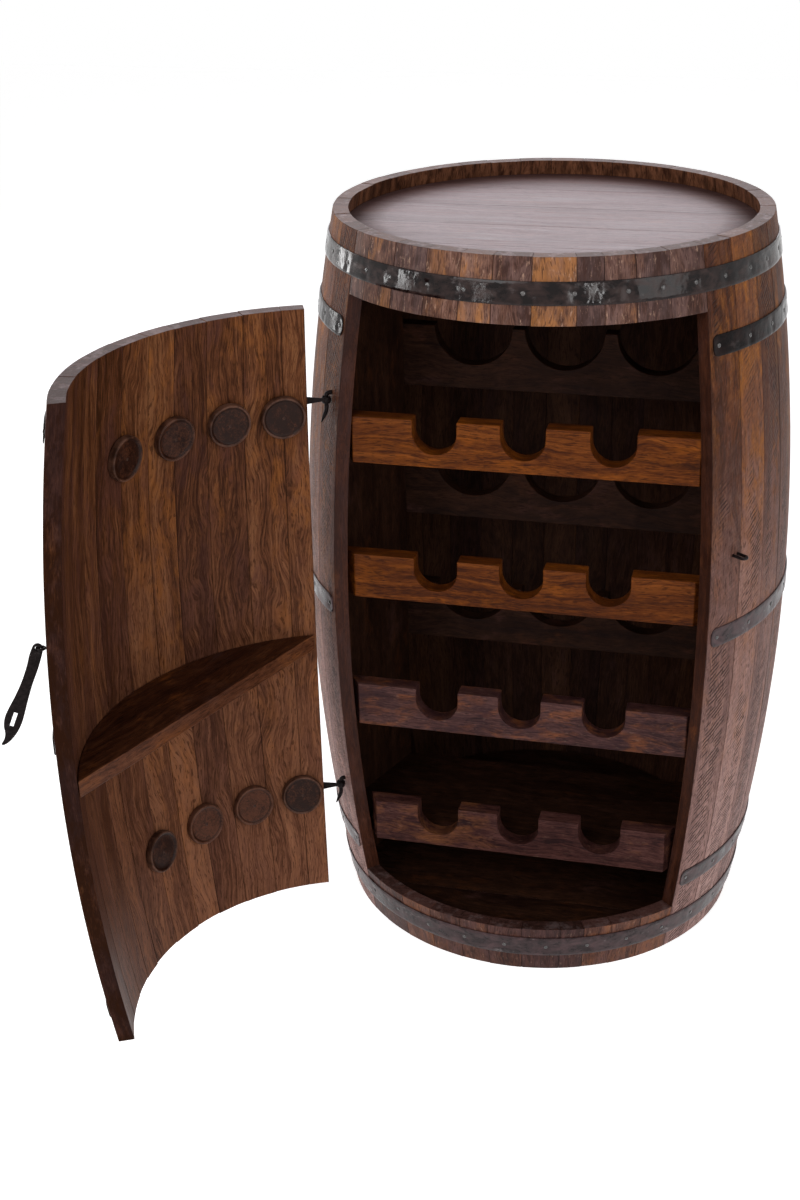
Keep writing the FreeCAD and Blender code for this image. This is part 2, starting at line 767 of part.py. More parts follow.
def hook_rise():
    """How far the hook's shank lies above the middle of the hinge."""
    return size("strap_width") / 2 + size("hinge_pin_rise")


def hook_shank_length(name):
    """From the end of the bend to the shank's end inside the stave."""
    height = "(%s + %s / 2 + %s)" % (
        HINGE_HEIGHTS[name], sized("strap_width"), sized("hinge_pin_rise"))
    return "(%s - %s - %s + %s)" % (
        HINGE_RADIUS, sized("hinge_bend_radius"), radius_at(height), sized("hinge_shank_depth"))


def hinge_hook(name):
    """A pin that hangs down through the door's ring, bent over at the top and driven inward."""
    body = new_body("hinge_hook_" + name)
    path = new_sketch(body, "XZ_Plane", "hook_path_" + name)
    bend = size("hinge_bend_radius")
    foot = "(-(%s / 2 + %s))" % (sized("strap_width"), sized("hinge_pin_drop"))
    top = "(%s / 2 + %s)" % (sized("strap_width"), sized("hinge_pin_rise"))
    shoulder = "(%s - %s)" % (top, sized("hinge_bend_radius"))
    end = "(-%s - %s)" % (sized("hinge_bend_radius"), hook_shank_length(name))
    path.addGeometry(Part.LineSegment(
        FreeCAD.Vector(0, value(foot), 0), FreeCAD.Vector(0, value(shoulder), 0)))
    ring = Part.Circle(FreeCAD.Vector(-bend, value(shoulder), 0), UP, bend)
    path.addGeometry(Part.ArcOfCircle(ring, 0, math.pi / 2))
    path.addGeometry(Part.LineSegment(
        FreeCAD.Vector(-bend, value(top), 0), FreeCAD.Vector(value(end), value(top), 0)))
    path.addConstraint(Sketcher.Constraint("PointOnObject", 0, 1, -2))
    path.addConstraint(Sketcher.Constraint("Vertical", 0))
    path.addConstraint(Sketcher.Constraint("Tangent", 0, 2, 1, 1))
    path.addConstraint(Sketcher.Constraint("Tangent", 1, 2, 2, 1))
    path.addConstraint(Sketcher.Constraint("Horizontal", 2))
    bind(path, "Radius", 1, sized("hinge_bend_radius"))
    bind(path, "DistanceY", -1, 1, 0, 1, foot)
    bind(path, "DistanceY", -1, 1, 2, 2, top)
    bind(path, "DistanceX", -1, 1, 2, 2, end)
    section = new_sketch(body, "XY_Plane", "hook_section_" + name, foot)
    circle(section, "0", "0", sized("hinge_pin_radius"))
    pipe = body.newObject("PartDesign::AdditivePipe", "hook_pipe_" + name)
    pipe.Profile = section
    pipe.Spine = path
    body.Placement = upright(
        value(HINGE_AZIMUTH), value(HINGE_RADIUS), value(HINGE_HEIGHTS[name]))
    finish(body, "hinge_hook_" + name)


def hinge_strap(name):
    """A strap on the outside of the door that ends in a ring round the hook's pin."""
    middle = HINGE_HEIGHTS[name]
    low = "(%s - %s / 2)" % (middle, sized("strap_width"))
    high = "(%s + %s / 2)" % (middle, sized("strap_width"))
    outside = "(%s + %s)" % (sized("strap_seat"), sized("strap_thickness"))
    end = "(%s + %s)" % (HINGE_AZIMUTH, sized("strap_sweep_angle"))
    leaf = band("strap_leaf_" + name, low, high, outside, sized("strap_seat"), HINGE_AZIMUTH, end)
    ring = new_body("strap_ring_" + name)
    sketch = new_sketch(ring, "XY_Plane", "strap_ring_outline_" + name)
    bore_radius = "(%s + %s)" % (sized("hinge_pin_radius"), sized("hinge_pin_fit"))
    circle(sketch, "0", "0", "%s + %s" % (bore_radius, sized("strap_ring_wall")))
    padded(ring, "strap_ring_pad_" + name, sketch, sized("strap_width"))
    ring.Placement = upright(value(HINGE_AZIMUTH), value(HINGE_RADIUS), value(low))
    joined = combined("Part::Fuse", "strap_blank_" + name, leaf, ring)
    below = value(low) - size("strap_width")
    place = upright(value(HINGE_AZIMUTH), value(HINGE_RADIUS), below)
    hole = cylinder("strap_bore_" + name, bore_radius, "3 * %s" % sized("strap_width"), place)
    strap = combined("Part::Cut", "hinge_strap_" + name, joined, hole)
    document.recompute()
    finish(strap, "hinge_strap_" + name, door_swing())


def strap_screws():
    screws = []
    start = -value(DOOR_EDGE)
    end = value(HINGE_AZIMUTH) + size("strap_sweep_angle")
    for name, height in HINGE_HEIGHTS.items():
        for number in (1, 2):
            azimuth = start + (end - start) * size("strap_screw_share_%d" % number)
            screw = document.addObject("Part::Cone", "strap_screw_" + name)
            screw.setExpression("Radius1", sized("strap_screw_radius"))
            screw.setExpression("Radius2", sized("strap_screw_crown_radius"))
            screw.setExpression("Height", sized("strap_screw_height"))
            offset = size("strap_seat") + size("strap_thickness") + size("hoop_seat")
            screw.Placement = on_shell(azimuth, value(height), offset)
            screws.append(screw)
    finish(compound("strap_screws", screws), "strap_screws", door_swing())


# ---------------------------------------------------------------- hasp and catch

def hasp_place():
    """The middle of the eye that carries the hasp, with the door shut."""
    radius = value(radius_at(HASP_HEIGHT)) + size("hasp_eye_standoff")
    return upright(value(HASP_AZIMUTH), radius, value(HASP_HEIGHT))


def hasp_eye():
    """A round eye lying level outside the door, with a shank driven into the stave."""
    ring = document.addObject("Part::Torus", "hasp_eye_ring")
    ring.setExpression("Radius1", sized("hasp_eye_radius"))
    ring.setExpression("Radius2", sized("hasp_wire_radius"))
    length = "%s + %s - %s" % (
        sized("hasp_eye_standoff"), sized("hasp_shank_depth"), sized("hasp_eye_radius"))
    start = FreeCAD.Placement(FreeCAD.Vector(-size("hasp_eye_radius"), 0, 0),
                              FreeCAD.Rotation(SIDEWAYS, -90))
    shank = cylinder("hasp_eye_shank", sized("hasp_wire_radius"), length, start)
    eye = combined("Part::Fuse", "hasp_eye", ring, shank)
    document.recompute()
    finish(eye, "hasp_eye", door_swing().multiply(hasp_place()))


def hasp_sleeve():
    """A short sleeve on the eye's wire, inside the hasp's hole. It runs round the eye."""
    body = new_body("hasp_sleeve")
    sketch = new_sketch(body, "XZ_Plane", "sleeve_section")
    inner = "(%s + %s)" % (sized("hasp_wire_radius"), sized("sleeve_gap"))
    circle(sketch, sized("hasp_eye_radius"), "0", "%s + %s" % (inner, sized("sleeve_wall")))
    circle(sketch, sized("hasp_eye_radius"), "0", inner)
    turned = turned_feature(body, "PartDesign::Revolution", "sleeve_turn", sketch,
                            "2 * %s" % sized("sleeve_half_angle"))
    turned.Midplane = True
    body.Placement = hasp_place()
    finish(body, "hasp_sleeve", door_swing())


def hasp():
    """A flat strap with a round head, a narrow waist, a leaf with a slot and a curled tip."""
    body = new_body("hasp")
    sketch = new_sketch(body, "XZ_Plane", "hasp_outline")
    hole = "(%s + %s + %s + %s)" % (sized("hasp_wire_radius"), sized("sleeve_gap"),
                                     sized("sleeve_wall"), sized("hasp_hole_gap"))
    head_radius = "(%s + %s)" % (hole, sized("hasp_rim"))
    waist, waist_half = "(-%s)" % sized("hasp_waist_reach"), sized("hasp_waist_half_width")
    leaf, leaf_half = "(-%s)" % sized("hasp_leaf_reach"), sized("hasp_leaf_half_width")
    tip, side = "(-%s)" % sized("hasp_tip_reach"), sized("hasp_tip_side")
    end_radius = sized("hasp_tip_radius")
    left = [("(-%s)" % head_radius, "0"), ("(-%s)" % waist_half, waist),
            ("(-%s)" % leaf_half, leaf), ("(%s - %s)" % (side, end_radius), tip)]
    right = [("(%s + %s)" % (side, end_radius), tip), (leaf_half, leaf),
             (waist_half, waist), (head_radius, "0")]
    outline(sketch, left + right)
    plate = padded(body, "hasp_plate", sketch, sized("hasp_thickness"))
    plate.Midplane = True
    crown = new_sketch(body, "XZ_Plane", "hasp_head_outline")
    circle(crown, "0", "0", head_radius)
    round_head = padded(body, "hasp_head", crown, sized("hasp_thickness"))
    round_head.Midplane = True
    slot = new_sketch(body, "XZ_Plane", "hasp_slot_outline")
    outline(slot, slot_corners())
    cut_through(body, "hasp_slot", slot)
    eye = new_sketch(body, "XZ_Plane", "hasp_hole_outline")
    circle(eye, "0", "0", hole)
    cut_through(body, "hasp_hole", eye)
    lean = FreeCAD.Placement(FreeCAD.Vector(size("hasp_eye_radius"), 0, 0),
                             FreeCAD.Rotation(SIDEWAYS, -size("hasp_lean_angle")))
    body.Placement = hasp_place().multiply(lean)
    finish(body, "hasp", door_swing())


def slot_corners():
    half_width = "(%s / 2)" % sized("hasp_slot_width")
    top = "(-%s + %s / 2)" % (sized("hasp_slot_reach"), sized("hasp_slot_length"))
    low = "(-%s - %s / 2)" % (sized("hasp_slot_reach"), sized("hasp_slot_length"))
    return [("(-%s)" % half_width, low), (half_width, low), (half_width, top),
            ("(-%s)" % half_width, top)]


def shut_hasp_slot():
    """Where the middle of the slot comes when the shut door's hasp lies level at the catch."""
    turn = math.radians(size("hasp_shut_turn_angle"))
    reach = size("hasp_eye_radius") + size("hasp_slot_reach")
    return hasp_place().multVec(
        FreeCAD.Vector(reach * math.cos(turn), reach * math.sin(turn), 0))


def catch_azimuth():
    middle = shut_hasp_slot()
    return math.degrees(math.atan2(middle.x, -middle.y))


def catch_place():
    """Where the catch's middle line leaves the stave's outer face."""
    radius = value(radius_at(HASP_HEIGHT))
    return upright(catch_azimuth(), radius, value(HASP_HEIGHT))


def catch():
    """A wire staple lying level, that passes through the hasp's slot."""
    middle = shut_hasp_slot()
    plate_out = math.hypot(middle.x, middle.y) - value(radius_at(HASP_HEIGHT))
    bend = size("catch_leg_spacing") / 2
    straight = plate_out + size("hasp_thickness") / 2 + size("catch_clear_height")
    straight -= bend - size("catch_wire_radius")
    body = new_body("catch_staple")
    path = new_sketch(body, "XY_Plane", "catch_path")
    foot = "(-%s)" % sized("catch_leg_depth")
    half = "(%s / 2)" % sized("catch_leg_spacing")
    depth = value(foot)
    path.addGeometry(Part.LineSegment(
        FreeCAD.Vector(depth, -bend, 0), FreeCAD.Vector(straight, -bend, 0)))
    ring = Part.Circle(FreeCAD.Vector(straight, 0, 0), UP, bend)
    path.addGeometry(Part.ArcOfCircle(ring, -math.pi / 2, math.pi / 2))
    path.addGeometry(Part.LineSegment(
        FreeCAD.Vector(straight, bend, 0), FreeCAD.Vector(depth, bend, 0)))
    path.addConstraint(Sketcher.Constraint("Tangent", 0, 2, 1, 1))
    path.addConstraint(Sketcher.Constraint("Tangent", 1, 2, 2, 1))
    path.addConstraint(Sketcher.Constraint("Horizontal", 0))
    path.addConstraint(Sketcher.Constraint("Vertical", 0, 1, 2, 2))
    bind(path, "DistanceX", -1, 1, 0, 1, foot)
    bind(path, "DistanceY", 0, 1, -1, 1, half)
    bind(path, "Radius", 1, half)
    bind(path, "DistanceX", -1, 1, 1, 3, str(straight))
    section = new_sketch(body, "YZ_Plane", "catch_section", foot)
    circle(section, "(-%s)" % half, "0", sized("catch_wire_radius"))
    pipe = body.newObject("PartDesign::AdditivePipe", "catch_pipe")
    pipe.Profile = section
    pipe.Spine = path
    body.Placement = catch_place()
    finish(body, "catch_staple")


# ---------------------------------------------------------------- bottle rack

def inside_of_shell(name, low, high, offset):
    """The round space inside the staves, between two heights, out to an offset."""
    body = new_body(name)
    sketch = new_sketch(body, "XZ_Plane", name + "_section")
    centre = FreeCAD.Vector(value(ARC_CENTRE), value(HALF_HEIGHT), 0)
    reach = value(ARC_RADIUS) + value(offset)
    low_angle = math.asin((value(low) - centre.y) / reach)
    high_angle = math.asin((value(high) - centre.y) / reach)
    wall = Part.ArcOfCircle(Part.Circle(centre, UP, reach), low_angle, high_angle)
    on_axis_low = FreeCAD.Vector(0, value(low), 0)
    on_axis_high = FreeCAD.Vector(0, value(high), 0)
    sketch.addGeometry(wall)
    sketch.addGeometry(Part.LineSegment(wall.EndPoint, on_axis_high))
    sketch.addGeometry(Part.LineSegment(on_axis_high, on_axis_low))
    sketch.addGeometry(Part.LineSegment(on_axis_low, wall.StartPoint))
    tie_corners(sketch, 4)
    sketch.addConstraint(Sketcher.Constraint("Horizontal", 1))
    sketch.addConstraint(Sketcher.Constraint("Horizontal", 3))
    sketch.addConstraint(Sketcher.Constraint("PointOnObject", 2, 1, -2))
    sketch.addConstraint(Sketcher.Constraint("PointOnObject", 2, 2, -2))
    bind(sketch, "DistanceX", -1, 1, 0, 3, ARC_CENTRE)
    bind(sketch, "DistanceY", -1, 1, 0, 3, HALF_HEIGHT)
    bind(sketch, "Radius", 0, "%s + %s" % (ARC_RADIUS, offset))
    bind(sketch, "DistanceY", -1, 1, 2, 1, high)
    bind(sketch, "DistanceY", -1, 1, 2, 2, low)
    turned_feature(body, "PartDesign::Revolution", name + "_turn", sketch)
    return body


def first_bottle(pitch):
    """How far the first bottle of a row lies from the row's middle."""
    return "((%s - 1) / 2 * %s)" % (sized("bottles_across"), pitch)


def front_bar(number, cavity, doorway):
    """A bar across the front with notches for the bottles' necks."""
    name = "rack_bar_%d" % number
    body = new_body(name + "_board")
    top = sized("bar_top_%d" % number)
    low = "(%s - %s)" % (top, sized("bar_height"))
    reach = sized("bilge_radius")
    face = new_sketch(body, "XZ_Plane", name + "_face", sized("bar_setback"))
    outline(face, [("(-%s)" % reach, low), (reach, low), (reach, top), ("(-%s)" % reach, top)])
    padded(body, name + "_pad", face, sized("bar_thickness"), reverse=True)
    notch = new_sketch(body, "XZ_Plane", name + "_notch", sized("bar_setback"))
    first = "(-%s)" % first_bottle(sized("neck_pitch"))
    notch_outline(notch, first, top, "(%s - %s)" % (top, sized("neck_depth")), sized("neck_radius"))
    pocket = cut_through(body, name + "_neck", notch)
    repeat_across(body, pocket, sized("neck_pitch"), "X_Axis", int(size("bottles_across")))
    document.recompute()
    fitted = combined("Part::Common", name + "_fitted", body, cavity)
    finish(combined("Part::Cut", name, fitted, doorway), name)


def notch_outline(sketch, x, top, low, radius):
    """A notch with straight sides and a round bottom, open at the top."""
    middle, bottom, reach = value(x), value(low), value(radius)
    high = value(top) + reach
    centre = FreeCAD.Vector(middle, bottom + reach, 0)
    ring = Part.Circle(centre, UP, reach)
    sketch.addGeometry(Part.ArcOfCircle(ring, math.pi, 2 * math.pi))
    sketch.addGeometry(Part.LineSegment(
        FreeCAD.Vector(middle + reach, centre.y, 0), FreeCAD.Vector(middle + reach, high, 0)))
    sketch.addGeometry(Part.LineSegment(
        FreeCAD.Vector(middle + reach, high, 0), FreeCAD.Vector(middle - reach, high, 0)))
    sketch.addGeometry(Part.LineSegment(
        FreeCAD.Vector(middle - reach, high, 0), FreeCAD.Vector(middle - reach, centre.y, 0)))
    sketch.addConstraint(Sketcher.Constraint("Tangent", 0, 2, 1, 1))
    sketch.addConstraint(Sketcher.Constraint("Coincident", 1, 2, 2, 1))
    sketch.addConstraint(Sketcher.Constraint("Coincident", 2, 2, 3, 1))
    sketch.addConstraint(Sketcher.Constraint("Tangent", 3, 2, 0, 1))
    sketch.addConstraint(Sketcher.Constraint("Vertical", 1))
    sketch.addConstraint(Sketcher.Constraint("Horizontal", 2))
    bind(sketch, "Radius", 0, radius)
    bind(sketch, "DistanceX", -1, 1, 0, 3, x)
    bind(sketch, "DistanceY", -1, 1, 0, 3, "%s + %s" % (low, radius))
    bind(sketch, "DistanceY", -1, 1, 2, 1, "%s + %s" % (top, radius))


def repeat_across(body, feature, pitch, axis, count):
    """Repeats a cut along one of the body's axes."""
    pattern = body.newObject("PartDesign::LinearPattern", feature.Name + "_row")
    pattern.Originals = [feature]
    pattern.Direction = (origin_feature(body, axis), [""])
    pattern.Mode = "Spacing"
    pattern.Occurrences = count
    pattern.setExpression("Offset", pitch)
    body.Tip = pattern
    return pattern


def rear_bar(number, cavity):
    """A bar across the middle with wide cradles for the bottles' bodies."""
    name = "rear_bar_%d" % number
    body = new_body(name + "_board")
    low = "(%s - %s)" % (sized("bar_top_%d" % number), sized("rear_bar_drop"))
    top = "(%s + %s)" % (low, sized("rear_bar_height"))
    reach = "(%s + %s / cos(%s))" % (
        sized("panel_half_gap"), sized("panel_thickness"), sized("panel_slant_angle"))
    left = "(%s - %s)" % (sized("rear_shift"), reach)
    right = "(%s + %s)" % (sized("rear_shift"), reach)
    back = "(-%s - %s)" % (sized("rear_bar_front"), sized("rear_bar_thickness"))
    face = new_sketch(body, "XZ_Plane", name + "_face", back)
    outline(face, [(left, low), (right, low), (right, top), (left, top)])
    padded(body, name + "_pad", face, sized("rear_bar_thickness"))
    cradle = new_sketch(body, "XZ_Plane", name + "_cradle", back)
    first = "(%s - %s)" % (sized("rear_shift"), first_bottle(sized("cradle_pitch")))
    circle(cradle, first, top, sized("cradle_radius"))
    pocket = cut_through(body, name + "_cradle_cut", cradle)
    repeat_across(body, pocket, sized("cradle_pitch"), "X_Axis", int(size("bottles_across")))
    document.recompute()
    finish(combined("Part::Common", name, body, cavity), name)


def panel_corners(side):
    """A side panel seen from above: its back end is square to the barrel, its front runs long."""
    slant = sized("panel_slant_angle")
    run = sized("bilge_radius")
    back = sized("rear_bar_front")
    inner = "(%s + %d * %s)" % (sized("rear_shift"), side, sized("panel_half_gap"))
    across = "(%d * %s / cos(%s))" % (side, sized("panel_thickness"), slant)
    forward = "(%d * %s * tan(%s))" % (side, run, slant)
    corners = [(inner, back), ("(%s + %s)" % (inner, across), back),
               ("(%s + %s + %s)" % (inner, across, forward), "(%s - %s)" % (back, run)),
               ("(%s + %s)" % (inner, forward), "(%s - %s)" % (back, run))]
    return corners if side < 0 else corners[::-1]


def side_panel(name, side, cavity):
    """An upright board from the end of the rear bars, slanting forward to the staves."""
    body = new_body(name + "_board")
    sketch = new_sketch(body, "XY_Plane", name + "_outline", BASE_TOP)
    outline(sketch, panel_corners(side))
    padded(body, name + "_pad", sketch, "%s - %s" % (sized("panel_top"), BASE_TOP))
    document.recompute()
    finish(combined("Part::Common", name, body, cavity), name)


def rack_shelf(cavity):
    """A shelf at the lowest row, from the front bar back to the line of the rear bars."""
    body = new_body("rack_shelf_board")
    low = "(%s - %s)" % (sized("shelf_top"), sized("shelf_thickness"))
    sketch = new_sketch(body, "XY_Plane", "rack_shelf_outline", low)
    front = "(%s - %s)" % (sized("bar_thickness"), sized("bar_setback"))
    back = sized("rear_bar_front")
    run = "(%s - %s)" % (back, front)
    half = "(%s - %s)" % (sized("panel_half_gap"), sized("shelf_gap"))
    spread = "(%s + %s * tan(%s))" % (half, run, sized("panel_slant_angle"))
    centre = sized("rear_shift")
    outline(sketch, [
        ("(%s - %s)" % (centre, half), back), ("(%s - %s)" % (centre, spread), front),
        ("(%s + %s)" % (centre, spread), front), ("(%s + %s)" % (centre, half), back)])
    padded(body, "rack_shelf_pad", sketch, sized("shelf_thickness"))
    document.recompute()
    finish(combined("Part::Common", "rack_shelf", body, cavity), "rack_shelf")


def bottle_rack():
    seat = "(%s - %s)" % (INNER_FACE, sized("bar_seat"))
    cavity = inside_of_shell("cavity", BASE_TOP, HEAD_LOW, seat)
    swept = "(%s - %s)" % (DOOR_INNER_FACE, sized("bar_door_gap"))
    doorway = band("doorway", OPENING_LOW, OPENING_HIGH, "0", swept,
                   "(-%s)" % OPENING_EDGE, OPENING_EDGE)
    for index in range(int(size("bar_count"))):
        front_bar(index + 1, cavity, doorway)
    for index in range(int(size("rear_bar_count"))):
        rear_bar(index + 1, cavity)
    side_panel("side_panel_left", -1, cavity)
    side_panel("side_panel_right", 1, cavity)
    rack_shelf(cavity)


# ---------------------------------------------------------------- the whole cabinet

side_staves()
cut_staves("lintel_staves", OPENING_HIGH, sized("barrel_height"), TOP_TONGUE)
cut_staves("sill_staves", "0", OPENING_LOW, BASE_TONGUE)
heads()
hoops()
bottle_rack()
door_staves()
door_hoops()
door_shelf()
door_discs()
for hinge_name in ("upper", "lower"):
    hinge_hook(hinge_name)
    hinge_strap(hinge_name)
strap_screws()
hasp_eye()
hasp_sleeve()
hasp()
catch()
document.recompute()

for item in document.Objects:
    for trouble in ("Invalid", "Error"):
        if trouble in item.State:
            raise RuntimeError("%s is %s" % (item.Name, trouble))

for piece in sub_parts:
    if piece.Shape.isNull() or not piece.Shape.isValid():
        raise RuntimeError("%s has no valid shape" % piece.Label)
    print(piece.Label, len(piece.Shape.Solids), round(piece.Shape.Volume, 2))

os.makedirs("parts", exist_ok=True)
for piece in sub_parts:
    piece.Shape.exportStep("parts/%s.step" % piece.Label)
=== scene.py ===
"""Barrel bar cabinet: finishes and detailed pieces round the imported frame.

Lengths are metres and azimuths are degrees, unless a comment says otherwise.
"""

import json
import math
import random

import bmesh
import bpy
import numpy as np
from mathutils import Matrix, Vector, noise

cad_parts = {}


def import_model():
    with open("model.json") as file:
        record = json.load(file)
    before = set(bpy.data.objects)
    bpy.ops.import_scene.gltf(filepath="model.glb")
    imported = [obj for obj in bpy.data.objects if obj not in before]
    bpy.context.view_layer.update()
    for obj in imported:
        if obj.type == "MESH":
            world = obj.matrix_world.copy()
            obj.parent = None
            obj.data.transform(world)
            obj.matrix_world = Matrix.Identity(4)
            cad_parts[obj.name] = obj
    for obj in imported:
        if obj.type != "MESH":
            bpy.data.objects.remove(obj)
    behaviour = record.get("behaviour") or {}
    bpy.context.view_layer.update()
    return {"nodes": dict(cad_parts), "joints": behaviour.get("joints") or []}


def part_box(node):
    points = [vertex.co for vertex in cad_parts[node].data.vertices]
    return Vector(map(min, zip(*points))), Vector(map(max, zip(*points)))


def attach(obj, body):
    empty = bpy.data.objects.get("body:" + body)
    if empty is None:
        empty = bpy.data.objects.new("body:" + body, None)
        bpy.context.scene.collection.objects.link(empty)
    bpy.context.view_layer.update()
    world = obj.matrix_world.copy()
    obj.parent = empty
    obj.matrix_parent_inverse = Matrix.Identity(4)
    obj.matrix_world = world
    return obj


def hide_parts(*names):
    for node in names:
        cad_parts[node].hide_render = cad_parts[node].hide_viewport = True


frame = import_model()
MM = 0.001

# ---------------------------------------------------------------- sizes read from the frame


def node_points(name):
    """The corners of a CAD node's mesh, one row each."""
    mesh = frame["nodes"][name].data
    flat = np.empty(len(mesh.vertices) * 3)
    mesh.vertices.foreach_get("co", flat)
    return flat.reshape(-1, 3)


def azimuths(points):
    """Degrees from -Y towards +X."""
    return np.degrees(np.arctan2(points[:, 0], -points[:, 1]))


def radii(points):
    return np.hypot(points[:, 0], points[:, 1])


SIDE_NODES = ["staves_right", "staves_back_right", "staves_back_left", "staves_left"]
SIDE_POINTS = np.vstack([node_points(name) for name in SIDE_NODES])
HEIGHT = SIDE_POINTS[:, 2].max()
BILGE_RADIUS = radii(SIDE_POINTS).max()
TOP_RADII = radii(SIDE_POINTS[SIDE_POINTS[:, 2] > HEIGHT - 0.1 * MM])
END_RADIUS = TOP_RADII.max()
SWELL = BILGE_RADIUS - END_RADIUS
ARC_RADIUS = (HEIGHT ** 2 / 4 + SWELL ** 2) / (2 * SWELL)
WALL = END_RADIUS - TOP_RADII.min()
OPENING_EDGE = azimuths(node_points("staves_right")).min()
OPENING_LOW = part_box("sill_staves")[1].z
OPENING_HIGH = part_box("lintel_staves")[0].z
SIDE_STAVE_COUNT = 28
HEAD_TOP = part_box("top_head")[1].z
STAVES_PER_NODE = SIDE_STAVE_COUNT // len(SIDE_NODES)


def joint_called(name):
    return [joint for joint in frame["joints"] if joint["name"] == name][0]


SWING = joint_called("door_swing")
HINGE = Vector((SWING["pos_m"][0], SWING["pos_m"][1], 0))
OPEN_ANGLE = math.radians(-SWING["range_deg"][0])
TO_OPEN = Matrix.Translation(HINGE) @ Matrix.Rotation(-OPEN_ANGLE, 4, "Z") @ Matrix.Translation(-HINGE)
TO_SHUT = TO_OPEN.inverted()
DOOR_NODES = ["door_stave_%02d" % number for number in range(1, 12)]


def shut_points(name):
    """The corners of a door node with the door shut."""
    points = node_points(name)
    turned = np.array(TO_SHUT)
    return points @ turned[:3, :3].T + turned[:3, 3]


DOOR_EDGES = [azimuths(shut_points(name)).min() for name in DOOR_NODES]
DOOR_EDGES.append(azimuths(shut_points(DOOR_NODES[-1])).max())
DOOR_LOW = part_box(DOOR_NODES[0])[0].z
DOOR_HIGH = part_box(DOOR_NODES[0])[1].z
DOOR_WALL = 16.5 * MM
# degrees
WHOLE_TURN = 360


def radius_at(height, offset=0.0):
    """The barrel's radius at a height, that far outside the staves' outer face."""
    reach = ARC_RADIUS + offset
    return BILGE_RADIUS - ARC_RADIUS + math.sqrt(reach ** 2 - (height - HEIGHT / 2) ** 2)


def polar(azimuth, radius, height):
    angle = math.radians(azimuth)
    return Vector((radius * math.sin(angle), -radius * math.cos(angle), height))


def round_barrel(azimuth, other):
    """The length on the bilge between two azimuths."""
    return math.radians(other - azimuth) * BILGE_RADIUS


def bilge_degrees(length):
    return math.degrees(length / BILGE_RADIUS)


def facing(azimuth, height):
    """The way the staves' outer face looks."""
    out = polar(azimuth, 1, 0)
    rise = math.asin((height - HEIGHT / 2) / ARC_RADIUS)
    return Vector((out.x * math.cos(rise), out.y * math.cos(rise), math.sin(rise)))


def standing_on(spot, axis):
    """The matrix that puts a shape's foot on the spot and its Z along the axis."""
    return Matrix.Translation(spot) @ axis.to_track_quat("Z", "X").to_matrix().to_4x4()


# ---------------------------------------------------------------- material nodes


class Nodes:
    """Short names for the nodes of one tree."""

    def __init__(self, tree):
        self.tree = tree

    def add(self, kind, **settings):
        node = self.tree.nodes.new(kind)
        for key, value in settings.items():
            setattr(node, key, value)
        return node

    def feed(self, socket, value):
        if isinstance(value, bpy.types.NodeSocket):
            self.tree.links.new(value, socket)
        else:
            socket.default_value = value

    def attribute(self, name, output):
        return self.add("ShaderNodeAttribute", attribute_name=name).outputs[output]

    def object_place(self):
        return self.add("ShaderNodeTexCoord").outputs["Object"]

    def maths(self, operation, first, second=0.0):
        node = self.add("ShaderNodeMath", operation=operation)
        self.feed(node.inputs[0], first)
        self.feed(node.inputs[1], second)
        return node.outputs[0]

    def times(self, first, second):
        return self.maths("MULTIPLY", first, second)

    def plus(self, total, *others):
        for other in others:
            total = self.maths("ADD", total, other)
        return total

    def less(self, first, second):
        return self.maths("SUBTRACT", first, second)

    def vector(self, operation, first, second):
        node = self.add("ShaderNodeVectorMath", operation=operation)
        self.feed(node.inputs[0], first)
        self.feed(node.inputs[1], second)
        return node.outputs["Value" if operation == "DOT_PRODUCT" else "Vector"]

    def mix(self, factor, first, second, blend="MIX"):
        node = self.add("ShaderNodeMix", data_type="RGBA", blend_type=blend)
        self.feed(node.inputs["Factor"], factor)
        self.feed(node.inputs["A"], first)
        self.feed(node.inputs["B"], second)
        return node.outputs["Result"]

    def split(self, place):
        parts = self.add("ShaderNodeSeparateXYZ")
        self.feed(parts.inputs[0], place)
        return parts.outputs

    def merge(self, *parts):
        whole = self.add("ShaderNodeCombineXYZ")
        for socket, part in zip(whole.inputs, parts):
            self.feed(socket, part)
        return whole.outputs[0]

    def stain(self, colour, where, strength, tint):
        """The colour with a tint over it, that strong where the mask is 1."""
        return self.mix(self.times(where, strength), colour, tint)

    def noise(self, place, per_metre, detail=3.0, roughness=0.55, warp=0.0):
        """Noise whose frequency is given for each axis, in features per metre."""
        stretched = self.vector("MULTIPLY", place, per_metre)
        node = self.add("ShaderNodeTexNoise")
        self.feed(node.inputs["Vector"], stretched)
        node.inputs["Scale"].default_value = 1.0
        node.inputs["Detail"].default_value = detail
        node.inputs["Roughness"].default_value = roughness
        node.inputs["Distortion"].default_value = warp
        return node.outputs["Fac"]

    def ramp(self, value, *stops):
        """A ramp of (place, grey or colour) stops."""
        node = self.add("ShaderNodeValToRGB")
        self.feed(node.inputs["Fac"], value)
        elements = node.color_ramp.elements
        while len(elements) < len(stops):
            elements.new(0.5)
        for element, (place, colour) in zip(elements, stops):
            element.position = place
            element.color = (*colour, 1) if isinstance(colour, tuple) else (colour, colour, colour, 1)
        return node.outputs["Color"]

    def bump(self, height, distance, strength=1.0, below=None):
        node = self.add("ShaderNodeBump")
        node.inputs["Strength"].default_value = strength
        node.inputs["Distance"].default_value = distance
        self.feed(node.inputs["Height"], height)
        if below is not None:
            self.feed(node.inputs["Normal"], below)
        return node.outputs["Normal"]

    def seen_or_mirrored(self):
        """1 for rays from the camera and for those that a gloss sends on."""
        path = self.add("ShaderNodeLightPath").outputs
        return self.maths("MAXIMUM", path["Is Camera Ray"], path["Is Glossy Ray"])


